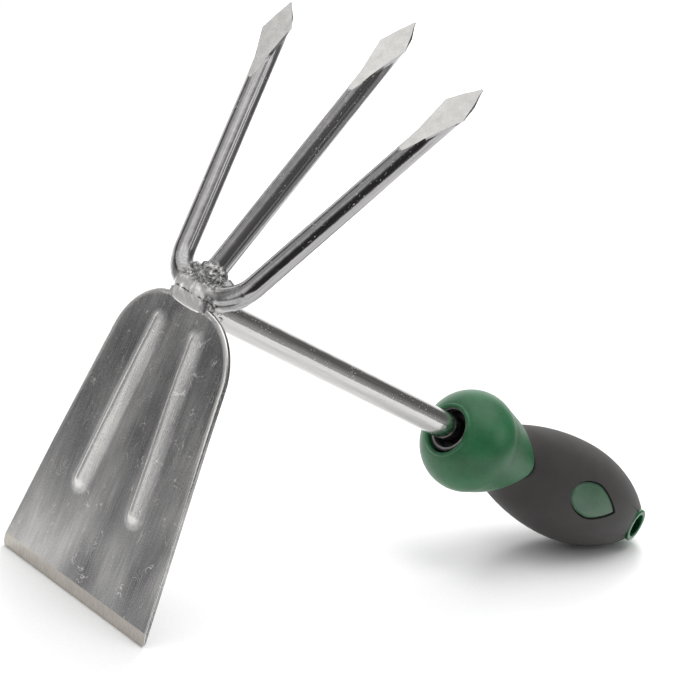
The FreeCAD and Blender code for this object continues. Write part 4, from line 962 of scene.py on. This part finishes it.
bm, place = spun(len(sleeve_line(0.0)), 240, closed=True)
laid(bm, place, sleeve_line)
leaves = bmesh.new()
LEAF_GAP, LEAF_FLOOR, LEAF_TOP = 0.6, 15.2, 25.0
edge = []
for i in range(101):
    t = (1 - math.cos(math.pi * i / 100)) / 2
    edge.append((BADGE_X0 + BADGE_LONG * t, leaf_half(t) * BADGE_HALF))
outline = edge + [(x, -z) for x, z in edge[-2:0:-1]]
for side in (1, -1):
    verts = []
    for k, (x, z) in enumerate(outline):
        before, after = outline[k - 1], outline[(k + 1) % len(outline)]
        out = Vector((-(after[1] - before[1]), after[0] - before[0]))
        out = out.normalized() * LEAF_GAP if out.length else out
        verts.append(leaves.verts.new((x + out.x, side * LEAF_FLOOR, BADGE_Z + z + out.y)))
    top = bmesh.ops.extrude_face_region(leaves, geom=[leaves.faces.new(verts)])["geom"]
    bmesh.ops.translate(leaves, vec=(0, side * (LEAF_TOP - LEAF_FLOOR), 0),
                        verts=[g for g in top if isinstance(g, bmesh.types.BMVert)])
bmesh.ops.recalc_face_normals(leaves, faces=leaves.faces)
bm = carve(bm, leaves)

grey, tree, shader = moulded("moulded_grey_soft_rubber", "#292625", "#312E2D", 0.62, 0.8, 0.35, 0.00009)
shader.inputs["IOR"].default_value = 1.5
shader.inputs["Sheen Weight"].default_value = 0.12
shader.inputs["Sheen Roughness"].default_value = 0.5
grip = finished("soft_grip_sleeve", bm, TOOL, [grey])
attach(grip, "root")
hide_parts("grip_sleeve")

# ---------------------------------------------------------------- badges
# A leaf-shaped green plastic inlay snapped into each side of the grip; plain, with softly rounded edges.

badge_green, tree, shader = moulded("moulded_green_badge", "#375843", "#486952", 0.34, 0.5, 0.5, 0.00008)
shader.inputs["IOR"].default_value = 1.49
for side, label in ((1, "badge_left"), (-1, "badge_right")):
    bm = bmesh.new()
    bmesh.ops.create_grid(bm, x_segments=60, y_segments=24, size=1.0)
    grid_verts = list(bm.verts)
    for vert in grid_verts:
        t = (1 - math.cos(math.pi * (vert.co.x + 1) / 2)) / 2
        u = math.sin(vert.co.y * math.pi / 2)
        x = BADGE_X0 + BADGE_LONG * t
        half = leaf_half(t) * BADGE_HALF
        rim = min((1 - abs(u)) * half, BADGE_LONG * min(t, 1 - t) * 0.9)
        sunk = 0.05 + 0.6 * (1 - ease(rim, 0, 1.3)) ** 2
        z = BADGE_Z + u * half
        r = radius(x)
        vert.co = Vector((x, side * (math.sqrt(r ** 2 - (z - AXIS_Z) ** 2) - sunk), z))
    out = bmesh.ops.extrude_edge_only(bm, edges=[e for e in bm.edges if e.is_boundary])["geom"]
    for vert in [g for g in out if isinstance(g, bmesh.types.BMVert)]:
        vert.co.y -= side * 2.0
    bmesh.ops.holes_fill(bm, edges=[e for e in bm.edges if e.is_boundary])
    bmesh.ops.remove_doubles(bm, verts=bm.verts, dist=0.002)
    bmesh.ops.recalc_face_normals(bm, faces=bm.faces)
    inlay = finished(label + "_inlay", bm, TOOL, [badge_green])
    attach(inlay, "root")
    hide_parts(label)

# ---------------------------------------------------------------- mouth of the handle
# A matt black bush holds the shaft in the bulb's mouth, with a thin dull steel ring let into its face.

black, tree, shader = moulded("moulded_black_nylon", "#171718", "#27272A", 0.42, 0.6, 0.5, 0.00006)
shader.inputs["IOR"].default_value = 1.53
nodes["mouth_bush"].data.materials.clear()
nodes["mouth_bush"].data.materials.append(black)

dull_steel, tree, shader = new_material("turned_dull_steel")
own = steel_coords(tree, TOOL)
turning = noisy(tree, own, 1.5, 5.0)
tint = node(tree, "ValToRGB", {0: turning.outputs[0]}, stops=[(0.35, "#8A8788"), (0.65, "#B0ADAC")])
tree.links.new(tint.outputs[0], shader.inputs["Base Color"])
rough = node(tree, "MapRange", {0: turning.outputs[0], 3: 0.3, 4: 0.5})
tree.links.new(rough.outputs[0], shader.inputs["Roughness"])
shader.inputs["Metallic"].default_value = 1.0
bump = node(tree, "Bump", {"Height": turning.outputs[0], "Strength": 0.3, "Distance": 0.00006})
tree.links.new(bump.outputs[0], shader.inputs["Normal"])
nodes["mouth_ring"].data.materials.clear()
nodes["mouth_ring"].data.materials.append(dull_steel)
